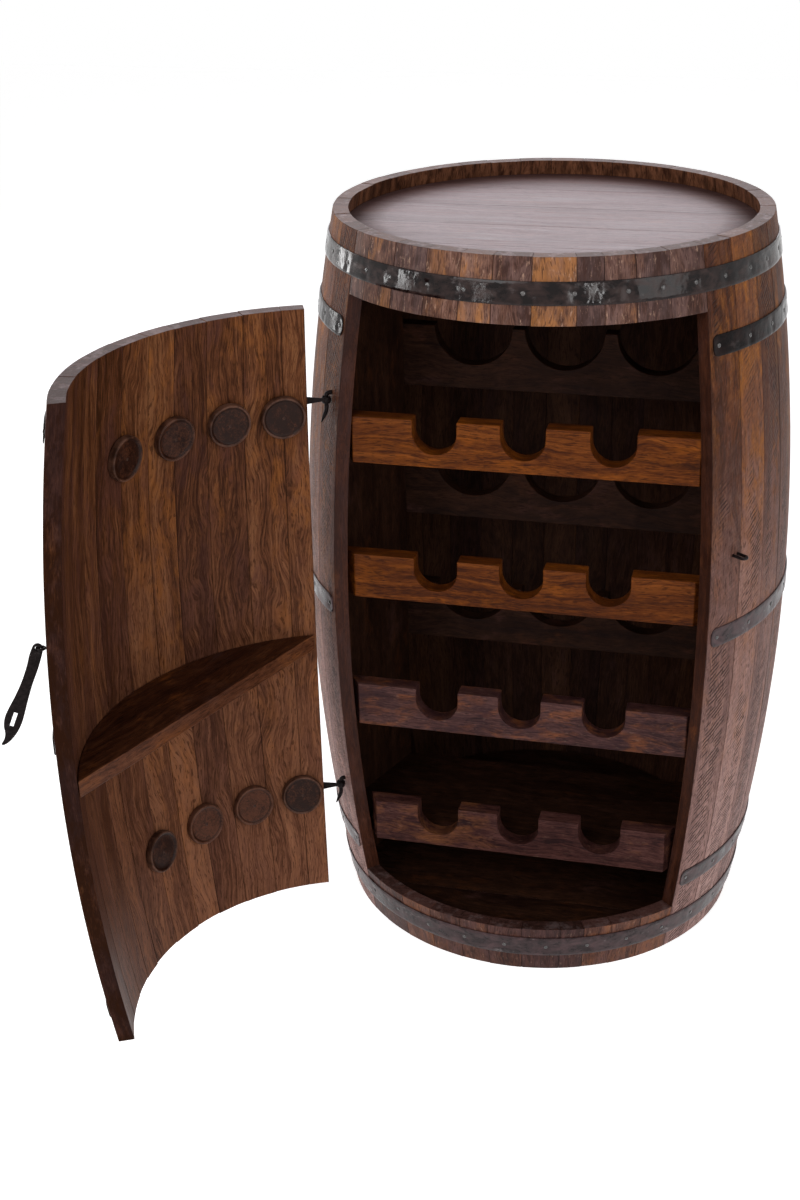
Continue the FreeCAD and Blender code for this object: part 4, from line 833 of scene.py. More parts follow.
def head_board(name, index, near, far, reach, heights, finish):
    """One board of a head, between two distances from the middle."""
    left, right = [], []
    for step in range(ARC_STEPS + 1):
        y = near + BOARD_JOINT + (far - near - 2 * BOARD_JOINT) * step / ARC_STEPS
        half = math.sqrt(max(reach ** 2 - y ** 2, 0))
        right.append((half, y))
        left.append((-half, y))
    outline = right + left[::-1]
    points = [(x, y, height) for height in heights for x, y in outline]
    shift = grain_shift(HEAD_SEED + index)
    grain = [Vector((y, z, x)) + shift for x, y, z in points]
    tone = 0.35 + 0.3 * random.Random(HEAD_TONE_SEED + index).random()
    seams = [min(y - near, far - y) for x, y, z in points]
    board = mesh_object(name, points, prism_faces(len(outline)), [finish], grain, tone, seams)
    face_outward(board, merge=True)
    return soften(board, HEAD_ROUNDING)


def head(node, finish):
    """Boards side by side, cut to a circle, with the grain from left to right."""
    low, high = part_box(node)
    # the tongue is hidden in the staves, so the face runs just up to them
    reach = min(radius_at(low.z), radius_at(high.z)) - WALL - HEAD_GAP
    width = 2 * reach / HEAD_BOARDS
    boards = []
    for index in range(HEAD_BOARDS):
        near = -reach + index * width
        boards.append(head_board("%s_%d" % (node, index), index, near, near + width, reach,
                                 (high.z, low.z), finish))
    place(join(node + "_boards", boards), "barrel", "head_wood", node)


# ---------------------------------------------------------------- hoops and nails

HOOP_SEAT = 0.05 * MM
HOOP_THICKNESS = 1.45 * MM
HOOP_CORNER = 7 * MM
HOOP_EDGE = 0.45 * MM
HOOP_LIP = 1.5 * MM
# degrees
HOOP_STEP = 0.6
NAIL_SPACING = 1.0
# shares of a hoop's width, and of a rounded corner
HOOP_ROWS = [0.0, 0.05, 0.16, 0.28, 0.39, 0.5, 0.61, 0.72, 0.84, 0.95, 1.0]
CORNER_COLUMNS = [0.05, 0.15, 0.3, 0.5, 0.75, 1]
DENT_DEPTH = 0.75 * MM
DENT_REACH = 5.5 * MM
HAMMER_DEPTH = 0.22 * MM
NAIL_RADIUS = 2.4 * MM
NAIL_HEIGHT = 1.0 * MM
NAIL_RINGS = 5
NAIL_SPOKES = 14
NAIL_LEAN = 0.05
HOOP_NAIL_SEED = 400
DOOR_NAIL_SEED = 500
DOOR_HOOP_SEED = 20


def nail_spots(node, low, high, to_shut=False):
    """Azimuths of the CAD nails between two heights, one for each nail."""
    points = shut_points(node) if to_shut else node_points(node)
    chosen = points[(points[:, 2] > low) & (points[:, 2] < high)]
    spots = []
    for azimuth in np.sort(azimuths(chosen)):
        if not spots or azimuth - spots[-1][-1] > NAIL_SPACING:
            spots.append([azimuth])
        else:
            spots[-1].append(azimuth)
    return [(spot[0] + spot[-1]) / 2 for spot in spots]


def hoop_columns(start, end, is_whole):
    """Azimuths along a hoop, closer together at the rounded ends of a cut one."""
    columns = list(np.linspace(start, end, int((end - start) / HOOP_STEP) + 1))
    if is_whole:
        return columns[:-1]
    fine = [bilge_degrees(HOOP_CORNER * share) for share in CORNER_COLUMNS]
    return sorted(columns + [start + extra for extra in fine] + [end - extra for extra in fine])


def corner_trim(inward, width):
    """How much lower a cut hoop is on each edge, that far in from its end."""
    if inward >= HOOP_CORNER:
        return 0.0
    trim = HOOP_CORNER - math.sqrt(HOOP_CORNER ** 2 - (HOOP_CORNER - inward) ** 2)
    return min(trim, width / 2 - HOOP_LIP)


def dent(spots, azimuth, above):
    """The depth of the hollow that the hammer left round the nearest nail."""
    if not len(spots):
        return 0.0
    half_turn = WHOLE_TURN / 2
    far = np.abs((spots - azimuth + half_turn) % WHOLE_TURN - half_turn).min()
    # the hammer leaves a longer dent below each nail
    distance = math.hypot(math.radians(far) * BILGE_RADIUS, above * (0.6 if above < 0 else 1.0))
    return DENT_DEPTH * math.exp(-(distance / DENT_REACH) ** 2)


def hoop(name, low, high, start, end, nails, seed, metal):
    """An iron band, hammered a little hollow at its nails, whole or with rounded ends."""
    is_whole = end - start >= WHOLE_TURN
    columns = hoop_columns(start, end, is_whole)
    points = []
    for azimuth in columns:
        inward = min(round_barrel(start, azimuth), round_barrel(azimuth, end))
        trim = 0.0 if is_whole else corner_trim(inward, high - low)
        heights = [low + trim + (high - low - 2 * trim) * share for share in HOOP_ROWS]
        for share, height in zip(HOOP_ROWS, heights):
            edge_round = HOOP_EDGE if share in (0.0, 1.0) else 0.0
            hammer = HAMMER_DEPTH * (1 + wobble(azimuth * 0.14, height * 40, seed)) / 2
            hollow = dent(np.array(nails), azimuth, height - (low + high) / 2)
            reach = HOOP_SEAT + HOOP_THICKNESS - edge_round - hollow - hammer
            points.append(polar(azimuth, radius_at(height, reach), height))
        points += [polar(azimuth, radius_at(height, HOOP_SEAT), height) for height in reversed(heights)]
    faces = tube_faces(len(columns), 2 * len(HOOP_ROWS), is_whole)
    piece = mesh_object(name, points, faces, [metal], points)
    face_outward(piece)
    sharpen(piece, 50)
    return piece


def nail_head(name, azimuth, height, seed):
    """A low dome in the hollow of a hoop."""
    dome = bmesh.new()
    centre = dome.verts.new((0, 0, NAIL_HEIGHT))
    loops = []
    for ring in range(1, NAIL_RINGS + 1):
        angle = math.pi / 2 * ring / NAIL_RINGS
        reach = NAIL_RADIUS * math.sin(angle)
        turns = [math.tau * spoke / NAIL_SPOKES for spoke in range(NAIL_SPOKES)]
        loops.append([dome.verts.new((reach * math.cos(turn), reach * math.sin(turn),
                                      NAIL_HEIGHT * math.cos(angle))) for turn in turns])
    for spoke in range(NAIL_SPOKES):
        following = (spoke + 1) % NAIL_SPOKES
        dome.faces.new((centre, loops[0][spoke], loops[0][following]))
        for inner, outer in zip(loops, loops[1:]):
            dome.faces.new((inner[spoke], outer[spoke], outer[following], inner[following]))
    dome.faces.new(loops[-1][::-1])
    mesh = bpy.data.meshes.new(name)
    dome.to_mesh(mesh)
    dome.free()
    dice = random.Random(seed)
    lean = Vector([dice.uniform(-1, 1) for axis in range(3)]) * NAIL_LEAN
    seat = polar(azimuth, radius_at(height, HOOP_SEAT + HOOP_THICKNESS - DENT_DEPTH), height)
    mesh.transform(standing_on(seat, (facing(azimuth, height) + lean).normalized()))
    mesh.materials.append(NAIL_IRON)
    mesh.shade_smooth()
    return new_object(name, mesh)


def nail_row(node, spots, height, seed):
    return [nail_head("%s_nail_%d" % (node, number), spot, height, seed + number)
            for number, spot in enumerate(spots)]


HOOPS = {"top_hoop": TOP_HOOP_IRON, "upper_hoop": HOOP_IRON, "middle_hoop": WORN_SHEEN_HOOP_IRON,
         "lower_hoop": WORN_SHEEN_HOOP_IRON, "base_hoop": WORN_SHEEN_HOOP_IRON}


def hoops():
    nails = []
    for seed, (node, metal) in enumerate(HOOPS.items()):
        low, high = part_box(node)
        is_whole = node in ("top_hoop", "base_hoop")
        points = azimuths(node_points(node)) % WHOLE_TURN
        start, end = (0, WHOLE_TURN) if is_whole else (points.min(), points.max())
        spots = nail_spots("hoop_nails", low.z, high.z)
        band = hoop(node + "_band", low.z, high.z, start, end, spots, seed, metal)
        place(band, "barrel", "hoop_iron", node)
        nails += nail_row(node, spots, (low.z + high.z) / 2, HOOP_NAIL_SEED)
    place(join("hoop_nail_heads", nails), "barrel", "nail_iron", "hoop_nails")


# ---------------------------------------------------------------- door

# the boards' own tones; the last boards, by the free edge, are also darker as painted shade from the door's
# curve
DOOR_TONES_AND_EDGE_SHADE = (0.60, 0.55, 0.42, 0.12, 0.80, 0.58, 0.20, 0.35, 0.15, 0.10, -0.30)
FOOT_STEP = 1.6 * MM
TOP_STEP = 1.3 * MM
DOOR_SEED = 120
FOOT_SEED = 80
TOP_SEED = 90


def door_staves():
    for index, node in enumerate(DOOR_NODES):
        # the sawn ends of the door are a little uneven from board to board
        step = random.Random(FOOT_SEED + index).uniform(0, FOOT_STEP)
        drop = random.Random(TOP_SEED + index).uniform(0, TOP_STEP)
        board = stave(node + "_board", DOOR_EDGES[index], DOOR_EDGES[index + 1], DOOR_LOW + step,
                      DOOR_HIGH - drop, DOOR_SEED + index, DOOR_WALL, (STAVE_OUTSIDE, DOOR_INSIDE),
                      DOOR_EDGE_WOOD, DOOR_END_GRAIN, tone=DOOR_TONES_AND_EDGE_SHADE[index])
        place(board, "door", "door_wood", node, matrix=TO_OPEN)


def door_hoops():
    nails = []
    for index, node in enumerate(("door_upper_hoop", "door_middle_hoop", "door_lower_hoop")):
        points = shut_points(node)
        low, high = points[:, 2].min(), points[:, 2].max()
        start, end = azimuths(points).min(), azimuths(points).max()
        spots = nail_spots("door_nails", low, high, True)
        band = hoop(node + "_band", low, high, start, end, spots, DOOR_HOOP_SEED + index, HOOP_IRON)
        place(band, "door", "hoop_iron", node, matrix=TO_OPEN)
        nails += nail_row(node, spots, (low + high) / 2, DOOR_NAIL_SEED)
    place(join("door_nail_heads", nails), "door", "nail_iron", "door_nails", matrix=TO_OPEN)


SHELF_STEPS = 40
SHELF_GAP = 0.3 * MM
SHELF_ROUNDING = 1.2 * MM
SHELF_SEED = 205


def door_shelf():
    """A board whose back follows the door's inside and whose front is straight."""
    shut = shut_points("door_shelf")
    front = -shut[:, 1].max()
    points = []
    for height in (shut[:, 2].max(), shut[:, 2].min()):
        reach = radius_at(height, -DOOR_WALL - SHELF_GAP)
        spread = math.degrees(math.acos(front / reach))
        for step in range(SHELF_STEPS + 1):
            points.append(polar(-spread + 2 * spread * step / SHELF_STEPS, reach, height))
    shift = grain_shift(SHELF_SEED)
    grain = [Vector((point.y, point.z, point.x)) + shift for point in points]
    faces = prism_faces(SHELF_STEPS + 1)
    # the last face joins the ends of the curve, so it is the straight front
    slots = [0] * (len(faces) - 1) + [1]
    finishes = [SHELF_WOOD, SHELF_FRONT]
    piece = mesh_object("door_shelf_board", points, faces, finishes, grain, slots=slots)
    face_outward(piece)
    soften(piece, SHELF_ROUNDING)
    place(piece, "door", "door_wood", "door_shelf", matrix=TO_OPEN)


def turned(name, profile, spokes, matrix, material, seed):
    """A shape turned about its own Z axis from a profile of (radius, height) in millimetres."""
    shift = grain_shift(seed)
    points, reach = [], []
    for radius, height in profile:
        for spoke in range(spokes):
            angle = math.tau * spoke / spokes
            points.append(Vector((radius * math.cos(angle), radius * math.sin(angle), height)) * MM)
            reach.append(radius * MM)
    faces = tube_faces(len(profile), spokes)
    grain = [point + shift for point in points]
    tone = random.Random(seed).random()
    piece = mesh_object(name, points, faces, [material], grain, tone, reach)
    piece.data.transform(matrix)
    sharpen(piece, 38)
    return piece


def disc_frame(node):
    """The middle of a disc's back, and its axis, which points into the cabinet."""
    points = shut_points(node)
    middle = Vector(points.mean(axis=0))
    normal = facing(math.degrees(math.atan2(middle.x, -middle.y)), middle.z)
    back = (points @ np.array(normal)).max()
    return middle + normal * (back - middle.dot(normal)), -normal


DISC_PROFILE = [(22.0, 0.0), (22.5, 0.6), (22.5, 5.0), (22.4, 6.0), (21.8, 6.8), (21.0, 7.0), (20.2, 6.9),
                (19.4, 6.2), (18.8, 5.6), (18.0, 5.35), (14.0, 5.45), (8.0, 5.6), (4.0, 5.7), (3.2, 5.75),
                (0.3, 5.8)]
PLUG_PROFILE = [(1.7, 5.6), (1.7, 5.9), (1.4, 6.15), (0.8, 6.25), (0.2, 6.2)]
DISC_SPOKES = 64
PLUG_SPOKES = 20
DISC_SEED = 600
PLUG_SEED = 620


def door_discs():
    screws = []
    for number in range(1, 9):
        node = "door_disc_%02d" % number
        turn = standing_on(*disc_frame(node))
        disc = turned(node + "_turned", DISC_PROFILE, DISC_SPOKES, turn, DISC_WOOD, DISC_SEED + number)
        place(disc, "door", "disc_wood", node, matrix=TO_OPEN)
        screws.append(turned("disc_screw_%d" % number, PLUG_PROFILE, PLUG_SPOKES, turn, PLUG_WOOD,
                             PLUG_SEED))
    place(join("disc_screw_heads", screws), "door", "hinge_iron", "disc_screws", matrix=TO_OPEN)


# ---------------------------------------------------------------- bottle rack

NOTCH_STEPS = 14
NECK_PITCH = 91 * MM
NECK_RADIUS = 23 * MM
NECK_DEPTH = 36 * MM
CRADLE_PITCH = 100 * MM
CRADLE_RADIUS = 43 * MM
REAR_SHIFT = 14 * MM
RACK_GAP = 0.6 * MM
RACK_LAP = 6 * MM
RACK_ROUNDING = 1.1 * MM
FRONT_BAR_SEED = 210
REAR_BAR_SEED = 220


def half_round(middle, height, radius):
    """The lower half of a circle, from right to left."""
    angles = [-math.pi * step / NOTCH_STEPS for step in range(NOTCH_STEPS + 1)]
    return [(middle + radius * math.cos(angle), height + radius * math.sin(angle)) for angle in angles]


def neck_notch(middle, top):
    bottom = half_round(middle, top - NECK_DEPTH + NECK_RADIUS, NECK_RADIUS)
    return [(middle + NECK_RADIUS, top), *bottom, (middle - NECK_RADIUS, top)]


def cradle(middle, top):
    return half_round(middle, top, CRADLE_RADIUS)


def rack_bar(node, notches, half_lengths, middle, finish, seed):
    """A bar cut with notches. half_lengths gives the length of its front and of its back."""
    low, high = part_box(node)
    cuts = [spot for notch in notches for spot in notch]
    points = []
    for depth, half in zip((low.y, high.y), half_lengths):
        outline = [(middle - half, low.z), (middle + half, low.z), (middle + half, high.z)]
        outline += cuts + [(middle - half, high.z)]
        points += [Vector((x, depth, z)) for x, z in outline]
    faces = prism_faces(len(points) // 2)
    shift = grain_shift(seed)
    grain = [Vector((point.z, point.y, point.x)) + shift for point in points]
    tone = random.Random(seed).uniform(0.4, 0.6)
    piece = mesh_object(node + "_board", points, faces, [finish], grain, tone)
    face_outward(piece)
    sharpen(piece, 35)
    soften(piece, RACK_ROUNDING)
    place(piece, "barrel", "rack_wood", node)


def bottle_rack():
    finishes = (RACK_HONEY, RACK_HONEY, RACK_MOTTLED, RACK_PLUM)
    for number, finish in enumerate(finishes, start=1):
        node = "rack_bar_%d" % number
        low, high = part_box(node)
        wall = min(radius_at(low.z), radius_at(high.z)) - WALL - RACK_GAP
        behind_jamb = -low.y * math.tan(math.radians(OPENING_EDGE)) + RACK_LAP
        front = min(math.sqrt(wall ** 2 - low.y ** 2), behind_jamb)
        back = math.sqrt(wall ** 2 - high.y ** 2) - RACK_LAP
        notches = [neck_notch(side * NECK_PITCH, high.z) for side in (1, 0, -1)]
        rack_bar(node, notches, (front, back), 0, finish, FRONT_BAR_SEED + number)
    for number in range(1, 4):
        node = "rear_bar_%d" % number
        low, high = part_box(node)
        half = (high.x - low.x) / 2
        cradles = [cradle(REAR_SHIFT + side * CRADLE_PITCH, high.z) for side in (1, 0, -1)]
        rack_bar(node, cradles, (half, half), REAR_SHIFT, SHADED_INNER_WOOD, REAR_BAR_SEED + number)


# ---------------------------------------------------------------- hinges and hasp

HINGE_SIDE = math.degrees(math.atan2(HINGE.x, -HINGE.y))
ROD_SPOKES = 16
HOOK_RADIUS = 2.25 * MM
HOOK_BEND = 3 * MM
BEND_STEPS = 8
# how far the hook's pin stands out, how high it is above its foot and how thick, in millimetres
HOOK_PIN = [(6.2, 0.4, 0.5), (4.9, 3.0, 1.2), (3.2, 6.0, 1.8), (1.6, 9.0, 2.15), (0.5, 12.0, 2.25),
            (0, 14.5, 2.25)]
KNUCKLE_RADIUS = 3.75 * MM
KNUCKLE_WALL = 1.25 * MM
KNUCKLE_STRETCH = 2.8
KNUCKLE_DROP = 1.2 * MM
KNUCKLE_GAP = 0.4 * MM
KNUCKLE_STEPS = 40
STRAP_SEAT = 0.3 * MM
STRAP_THICKNESS = 2 * MM
# how far along the strap, and half its width there, in millimetres
STRAP_SHAPE = [(1.5, 1.5), (6, 1.9), (11, 2.6), (15, 3.2), (18, 3.7), (21, 4.0), (60, 4.0)]
STRAP_NOSE = 4 * MM
STRAP_ROUNDING = 0.5 * MM
STRAP_STATIONS = 22
NOSE_STEPS = 5


def rod(name, path, radii, sideways):
    """A round iron bar along a flat path, from its radius at each point."""
    points = []
    for index, (here, radius) in enumerate(zip(path, radii)):
        along = (path[min(index + 1, len(path) - 1)] - path[max(index - 1, 0)]).normalized()
        lift = along.cross(sideways).normalized()
        for spoke in range(ROD_SPOKES):
            angle = math.tau * spoke / ROD_SPOKES
            points.append(here + (sideways * math.cos(angle) + lift * math.sin(angle)) * radius)
    faces = tube_faces(len(path), ROD_SPOKES)
    piece = mesh_object(name, points, faces, [FITTING_IRON], points)
    face_outward(piece)
    sharpen(piece, 60)
    return piece


def strap_middle(side):
    heights = node_points("hinge_strap_" + side)[:, 2]
    return (heights.min() + heights.max()) / 2


def hinge_hook(side):
    """A forged spike: driven into the stave, bent down and drawn out to a point."""
    node = "hinge_hook_" + side
    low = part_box(node)[0]
    inner = radii(node_points(node)).min()
    knuckle_top = strap_middle(side) - KNUCKLE_DROP + KNUCKLE_WALL * KNUCKLE_STRETCH
    shank = knuckle_top + KNUCKLE_GAP + HOOK_BEND
    line = [(HINGE.length + out * MM, low.z + rise * MM, thick * MM) for out, rise, thick in HOOK_PIN]
    for step in range(BEND_STEPS + 1):
        turn = math.pi / 2 * step / BEND_STEPS
        line.append((HINGE.length - HOOK_BEND * (1 - math.cos(turn)),
                     shank - HOOK_BEND * (1 - math.sin(turn)), HOOK_RADIUS))
    line.append((inner, shank, HOOK_RADIUS))
    path = [polar(HINGE_SIDE, reach, height) for reach, height, thick in line]
    thicknesses = [thick for reach, height, thick in line]
    hook = rod(node + "_spike", path, thicknesses, polar(HINGE_SIDE + 90, 1, 0))
    place(hook, "barrel", "hinge_iron", node)


def strap_leaf(name, end, middle):
    """A flat bar round the door's outside from the hinge line to an azimuth, with a round nose."""
    reach = radius_at(middle)
    length = math.radians(end - HINGE_SIDE) * reach
    stations = list(np.linspace(STRAP_SHAPE[0][0] * MM, length - STRAP_NOSE, STRAP_STATIONS))
    stations += [length - STRAP_NOSE * (1 - math.sin(math.pi / 2 * step / NOSE_STEPS))
                 for step in range(1, NOSE_STEPS + 1)]
    places, halves = zip(*STRAP_SHAPE)
    points = []
    for station in stations:
        past = max(station - (length - STRAP_NOSE), 0)
        nose = math.sqrt(max(1 - (past / STRAP_NOSE) ** 2, 0.01))
        half = float(np.interp(station / MM, places, halves)) * MM * nose
        azimuth = HINGE_SIDE + math.degrees(station / reach)
        for offset, side in ((0, -1), (0, 1), (STRAP_THICKNESS, 1), (STRAP_THICKNESS, -1)):
            height = middle + side * half
            points.append(polar(azimuth, radius_at(height, STRAP_SEAT + offset), height))
    faces = tube_faces(len(stations), 4)
    leaf = mesh_object(name, points, faces, [FITTING_IRON], points)
    face_outward(leaf)
    soften(leaf, STRAP_ROUNDING)
    sharpen(leaf, 40)
    return leaf


def knuckle(name, middle):
    """The eye of a strap, drawn out along the hinge line."""
    turns = [math.tau * step / KNUCKLE_STEPS for step in range(KNUCKLE_STEPS + 1)]
    ring = [HINGE + Vector((math.cos(turn), math.sin(turn), 0)) * KNUCKLE_RADIUS for turn in turns]
    piece = rod(name, ring, [KNUCKLE_WALL] * len(ring), Vector((0, 0, 1)))
    for vertex in piece.data.vertices:
        vertex.co.z = middle + vertex.co.z * KNUCKLE_STRETCH
    return piece


def hinge_strap(side):
    """A strap on the door's outside, drawn down to a neck and a knuckle round the hook."""
    node = "hinge_strap_" + side
    middle = strap_middle(side)
    leaf = strap_leaf(node + "_leaf", azimuths(shut_points(node)).max(), middle)
    eye = knuckle(node + "_knuckle", middle - KNUCKLE_DROP)
    place(join(node + "_forged", [leaf, eye]), "door", "hinge_iron", node, matrix=TO_OPEN)


HASP_LEAN = math.radians(22.4)
HASP_ROUNDING = 0.3 * MM
HOLE_STEPS = 32
LOOP_STEPS = 6
DOWN = Vector((0, 0, -1))
HASP_THICKNESS = 2 * MM
HASP_RIM = 2.4 * MM
SLOT_REACH = 78.5 * MM
SLOT_LENGTH = 15.6 * MM
SLOT_WIDTH = 3.5 * MM
# how far down the hasp, and its edge on the free side and on the door's side, in millimetres
HASP_SHAPE = [(9, 5.3, 5.8), (21, 4.3, 6.2), (38, 4.2, 6.0), (55, 5.6, 6.8), (69, 7.6, 7.8), (79, 8.3, 8.2),
              (88, 6.6, 7.4), (95, 3.4, 5.8), (101, 2.4, 3.6), (105, 2.9, 1.4), (107.6, 3.2, -1.2)]


def smooth_loop(corners):
    """A closed curve through the corners."""
    loop = []
    for index in range(len(corners)):
        before, here, after, beyond = [Vector(corners[(index + turn) % len(corners)])
                                       for turn in (-1, 0, 1, 2)]
        for step in range(LOOP_STEPS):
            share = step / LOOP_STEPS
            loop.append(0.5 * (2 * here + (after - before) * share
                               + (2 * before - 5 * here + 4 * after - beyond) * share ** 2
                               + (3 * here - before - 3 * after + beyond) * share ** 3))
    return loop


def plate(name, loops, material):
    """A flat plate with rounded edges from closed loops: its outline, then its holes."""
    curve = bpy.data.curves.new(name, "CURVE")
    curve.dimensions = "2D"
    curve.fill_mode = "BOTH"
    curve.extrude = HASP_THICKNESS / 2 - HASP_ROUNDING
    curve.bevel_depth = HASP_ROUNDING
    curve.bevel_resolution = 2
    curve.offset = -HASP_ROUNDING
    for loop in loops:
        spline = curve.splines.new("POLY")
        spline.points.add(len(loop) - 1)
        for point, spot in zip(spline.points, loop):
            point.co = (spot[0], spot[1], 0, 1)
        spline.use_cyclic_u = True
    drawn = new_object(name + "_outline", curve)
    view = bpy.context.evaluated_depsgraph_get()
    view.update()
    mesh = bpy.data.meshes.new_from_object(drawn.evaluated_get(view))
    bpy.data.objects.remove(drawn)
    mesh.materials.clear()
    mesh.materials.append(material)
    piece = new_object(name, mesh)
    sharpen(piece, 40)
    return piece


def hasp_loops(hole):
    """The hasp's outline with a head round the hole, the hole itself and the slot."""
    head = hole + HASP_RIM
    outline = [(out * MM, -reach * MM) for reach, out, back in HASP_SHAPE]
    outline += [(-back * MM, -reach * MM) for reach, out, back in reversed(HASP_SHAPE)]
    outline += [(head * math.cos(math.pi * share), head * math.sin(math.pi * share))
                for share in (1, 0.8, 0.6, 0.4, 0.2, 0)]
    turns = [-math.tau * step / HOLE_STEPS for step in range(HOLE_STEPS)]
    round_hole = [(hole * math.cos(turn), hole * math.sin(turn)) for turn in turns]
    half = SLOT_WIDTH / 2
    top, foot = -SLOT_REACH + SLOT_LENGTH / 2, -SLOT_REACH - SLOT_LENGTH / 2
    return [smooth_loop(outline), round_hole, [(-half, foot), (-half, top), (half, top), (half, foot)]]


def hasp_plate():
    """A forged leaf with a pierced head, a slot and a tip that curls to the door's free side."""
    swing = joint_called("hasp_swing")
    centre = Vector(swing["pos_m"])
    outward = Vector(swing["axis"]).cross(DOWN).normalized()
    if outward.dot(centre) < 0:
        outward.negate()
    down = DOWN * math.cos(HASP_LEAN) + outward * math.sin(HASP_LEAN)
    side = outward * math.cos(HASP_LEAN) - DOWN * math.sin(HASP_LEAN)
    from_centre = node_points("hasp") - np.array(centre)
    hole = np.hypot(from_centre @ np.array(side), from_centre @ np.array(down)).min()
    piece = plate("hasp_leaf", hasp_loops(hole), FITTING_IRON)
    turn = Matrix((side, -down, side.cross(-down))).transposed().to_4x4()
    place(piece, "hasp", "hasp_iron", "hasp", matrix=Matrix.Translation(centre) @ turn)


# ---------------------------------------------------------------- CAD pieces that stay


def board_finish(name, order, base):
    """A copy of a wood finish for CAD boards: order gives the axes (across, deep, along)."""
    material = base.copy()
    material.name = name
    nodes = Nodes(material.node_tree)
    parts = nodes.split(nodes.object_place())
    grain = nodes.merge(*[parts[axis] for axis in order])
    for node in [node for node in nodes.tree.nodes if node.type == "ATTRIBUTE"]:
        if node.attribute_name == "grain":
            for link in list(node.outputs["Vector"].links):
                nodes.feed(link.to_socket, grain)
            continue
        plain = 0.5 if node.attribute_name == "tone" else NO_SEAM
        for link in list(node.outputs["Fac"].links):
            target = link.to_socket
            nodes.tree.links.remove(link)
            target.default_value = plain
        nodes.tree.nodes.remove(node)
    return material


def dress(node, material):
    """Gives a CAD node that stays a finish of its own."""
    mesh = frame["nodes"][node].data
    mesh.materials.clear()
    mesh.materials.append(material)


def carried_over():
    # the panels and rack shelf take copies of the dark inner wood, which is painted shade
    upright = board_finish("panel_wood", "XYZ", SHADED_INNER_WOOD)
    level = board_finish("rack_shelf_wood", "YZX", SHADED_INNER_WOOD)
    dress("side_panel_left", upright)
    dress("side_panel_right", upright)
    dress("rack_shelf", level)
    for node in ("strap_screws", "hasp_eye", "hasp_sleeve", "catch_staple"):
        dress(node, FITTING_IRON)


# ---------------------------------------------------------------- stage

FLOOR_HALF = 6.0
FLOOR_GLOW = 0.68


def floor():
    """A pale floor that keeps the shadow but renders near white."""
    graph = Graph("floor_paper")
    speck = graph.noise(graph.object_place(), (40, 40, 40), 2)
    graph.feed(graph.shader.inputs["Base Color"], graph.ramp(speck, (0.3, 0.86), (0.7, 0.90)))
    graph.shader.inputs["Roughness"].default_value = 0.9
    glow = graph.add("ShaderNodeEmission")
    blend = graph.add("ShaderNodeAddShader")
    graph.feed(glow.inputs["Strength"], graph.times(graph.seen_or_mirrored(), FLOOR_GLOW))
    graph.feed(blend.inputs[0], graph.shader.outputs["BSDF"])
    graph.feed(blend.inputs[1], glow.outputs["Emission"])
    graph.feed(graph.tree.nodes["Material Output"].inputs["Surface"], blend.outputs["Shader"])
    mesh = bpy.data.meshes.new("floor")
    corners = [(x * FLOOR_HALF, y * FLOOR_HALF, 0) for x, y in ((-1, -1), (1, -1), (1, 1), (-1, 1))]
    mesh.from_pydata(corners, [], [(0, 1, 2, 3)])
    mesh.materials.append(graph.material)
    new_object("floor", mesh)


def world():
    """White where it is seen or mirrored, and dimmer where it lights."""
    surroundings = bpy.data.worlds.new("studio")
    surroundings.use_nodes = True
    nodes = Nodes(surroundings.node_tree)
    level = nodes.add("ShaderNodeMapRange")
    nodes.feed(level.inputs["Value"], nodes.seen_or_mirrored())
    nodes.feed(level.inputs["To Min"], 0.3)
    nodes.feed(level.inputs["To Max"], 1.0)
    background = nodes.tree.nodes["Background"]
    nodes.feed(background.inputs["Color"], (1, 1, 1, 1))
    nodes.feed(background.inputs["Strength"], level.outputs["Result"])
    bpy.context.scene.world = surroundings


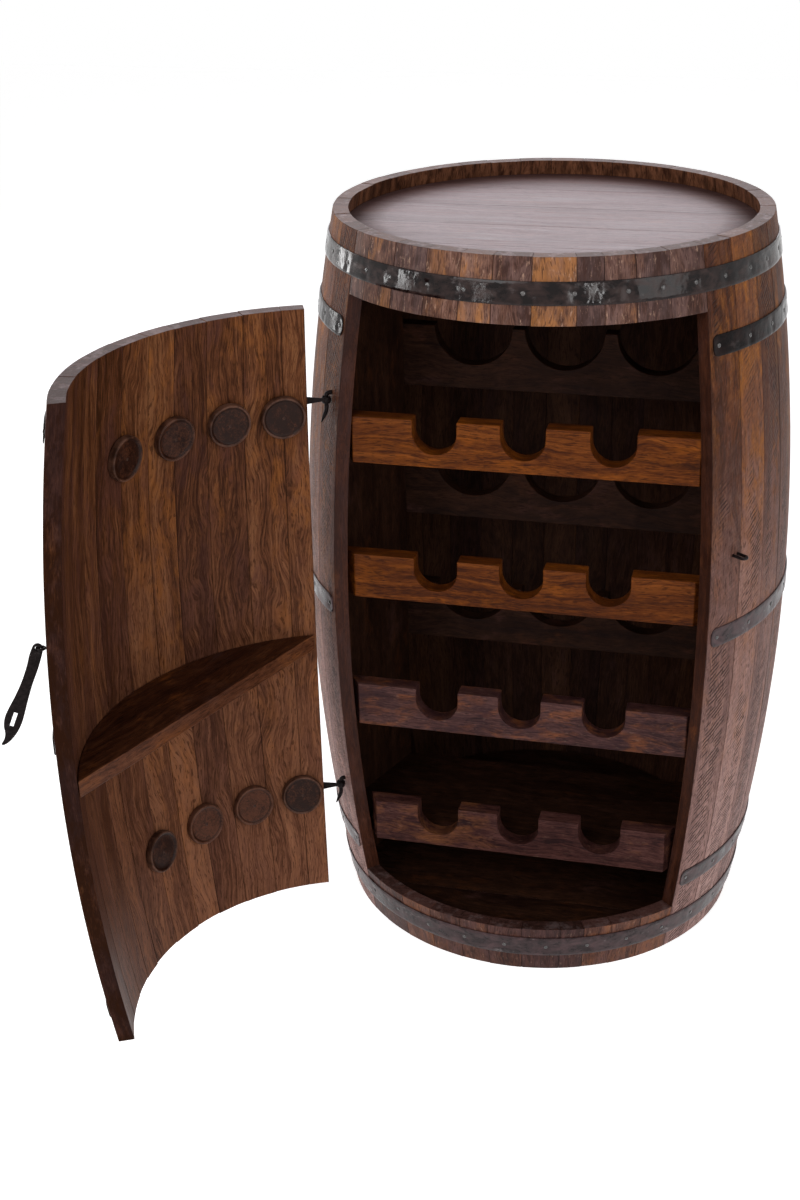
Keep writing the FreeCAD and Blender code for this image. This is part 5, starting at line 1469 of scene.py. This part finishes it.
def softbox(name, where, aim, size, power, tint=(1, 1, 1)):
    lamp = bpy.data.lights.new(name, "AREA")
    lamp.shape = "RECTANGLE"
    lamp.size, lamp.size_y = size
    lamp.energy = power
    lamp.color = tint
    holder = new_object(name, lamp)
    holder.location = where
    holder.rotation_euler = (Vector(aim) - Vector(where)).to_track_quat("-Z", "Y").to_euler()


def lights():
    softbox("key", (-1.1, -2.6, 2.3), (-0.1, 0, 0.4), (1.6, 1.6), 36)
    softbox("fill", (2.3, -1.3, 1.4), (0, 0, 0.4), (1.2, 1.8), 18)
    softbox("back", (-0.2, 2.4, 1.9), (0, 0, 0.7), (2.8, 1.4), 15, (1, 0.9, 1))
    softbox("edge", (-2.2, 0.9, 1.0), (0, 0, 0.5), (0.3, 1.6), 12)
    softbox("strip_left", (-2.0, -1.0, 0.8), (0, 0, 0.6), (0.16, 1.2), 12)
    softbox("strip_front", (-1.0, -2.3, 0.6), (0, 0, 0.6), (0.10, 1.0), 5)
    softbox("strip_right", (1.05, -2.0, 0.95), (0, 0, 0.6), (0.08, 1.2), 7)


CAMERA_PLACE = Vector((0.27976, -1.76223, 1.19775))
CAMERA_AIM = Vector((-0.17007, 0.0, 0.32907))
CAMERA_ROLL = -0.0200
LENS = 51.76
SENSOR = 36.0


def camera():
    lens = bpy.data.cameras.new("camera")
    lens.sensor_fit = "VERTICAL"
    lens.sensor_height = SENSOR
    lens.lens = LENS
    view = new_object("camera", lens)
    turn = (CAMERA_AIM - CAMERA_PLACE).to_track_quat("-Z", "Y").to_matrix().to_4x4()
    view.matrix_world = Matrix.Translation(CAMERA_PLACE) @ turn @ Matrix.Rotation(CAMERA_ROLL, 4, "Z")
    bpy.context.scene.camera = view


# ---------------------------------------------------------------- the whole scene

side_staves()
cut_staves()
head("top_head", HEAD_WOOD)
head("base_head", SHADED_INNER_WOOD)
hoops()
door_staves()
door_hoops()
door_shelf()
door_discs()
bottle_rack()
for side in ("upper", "lower"):
    hinge_hook(side)
    hinge_strap(side)
hasp_plate()
carried_over()
floor()
world()
lights()
camera()
bpy.context.scene.view_settings.view_transform = "Standard"
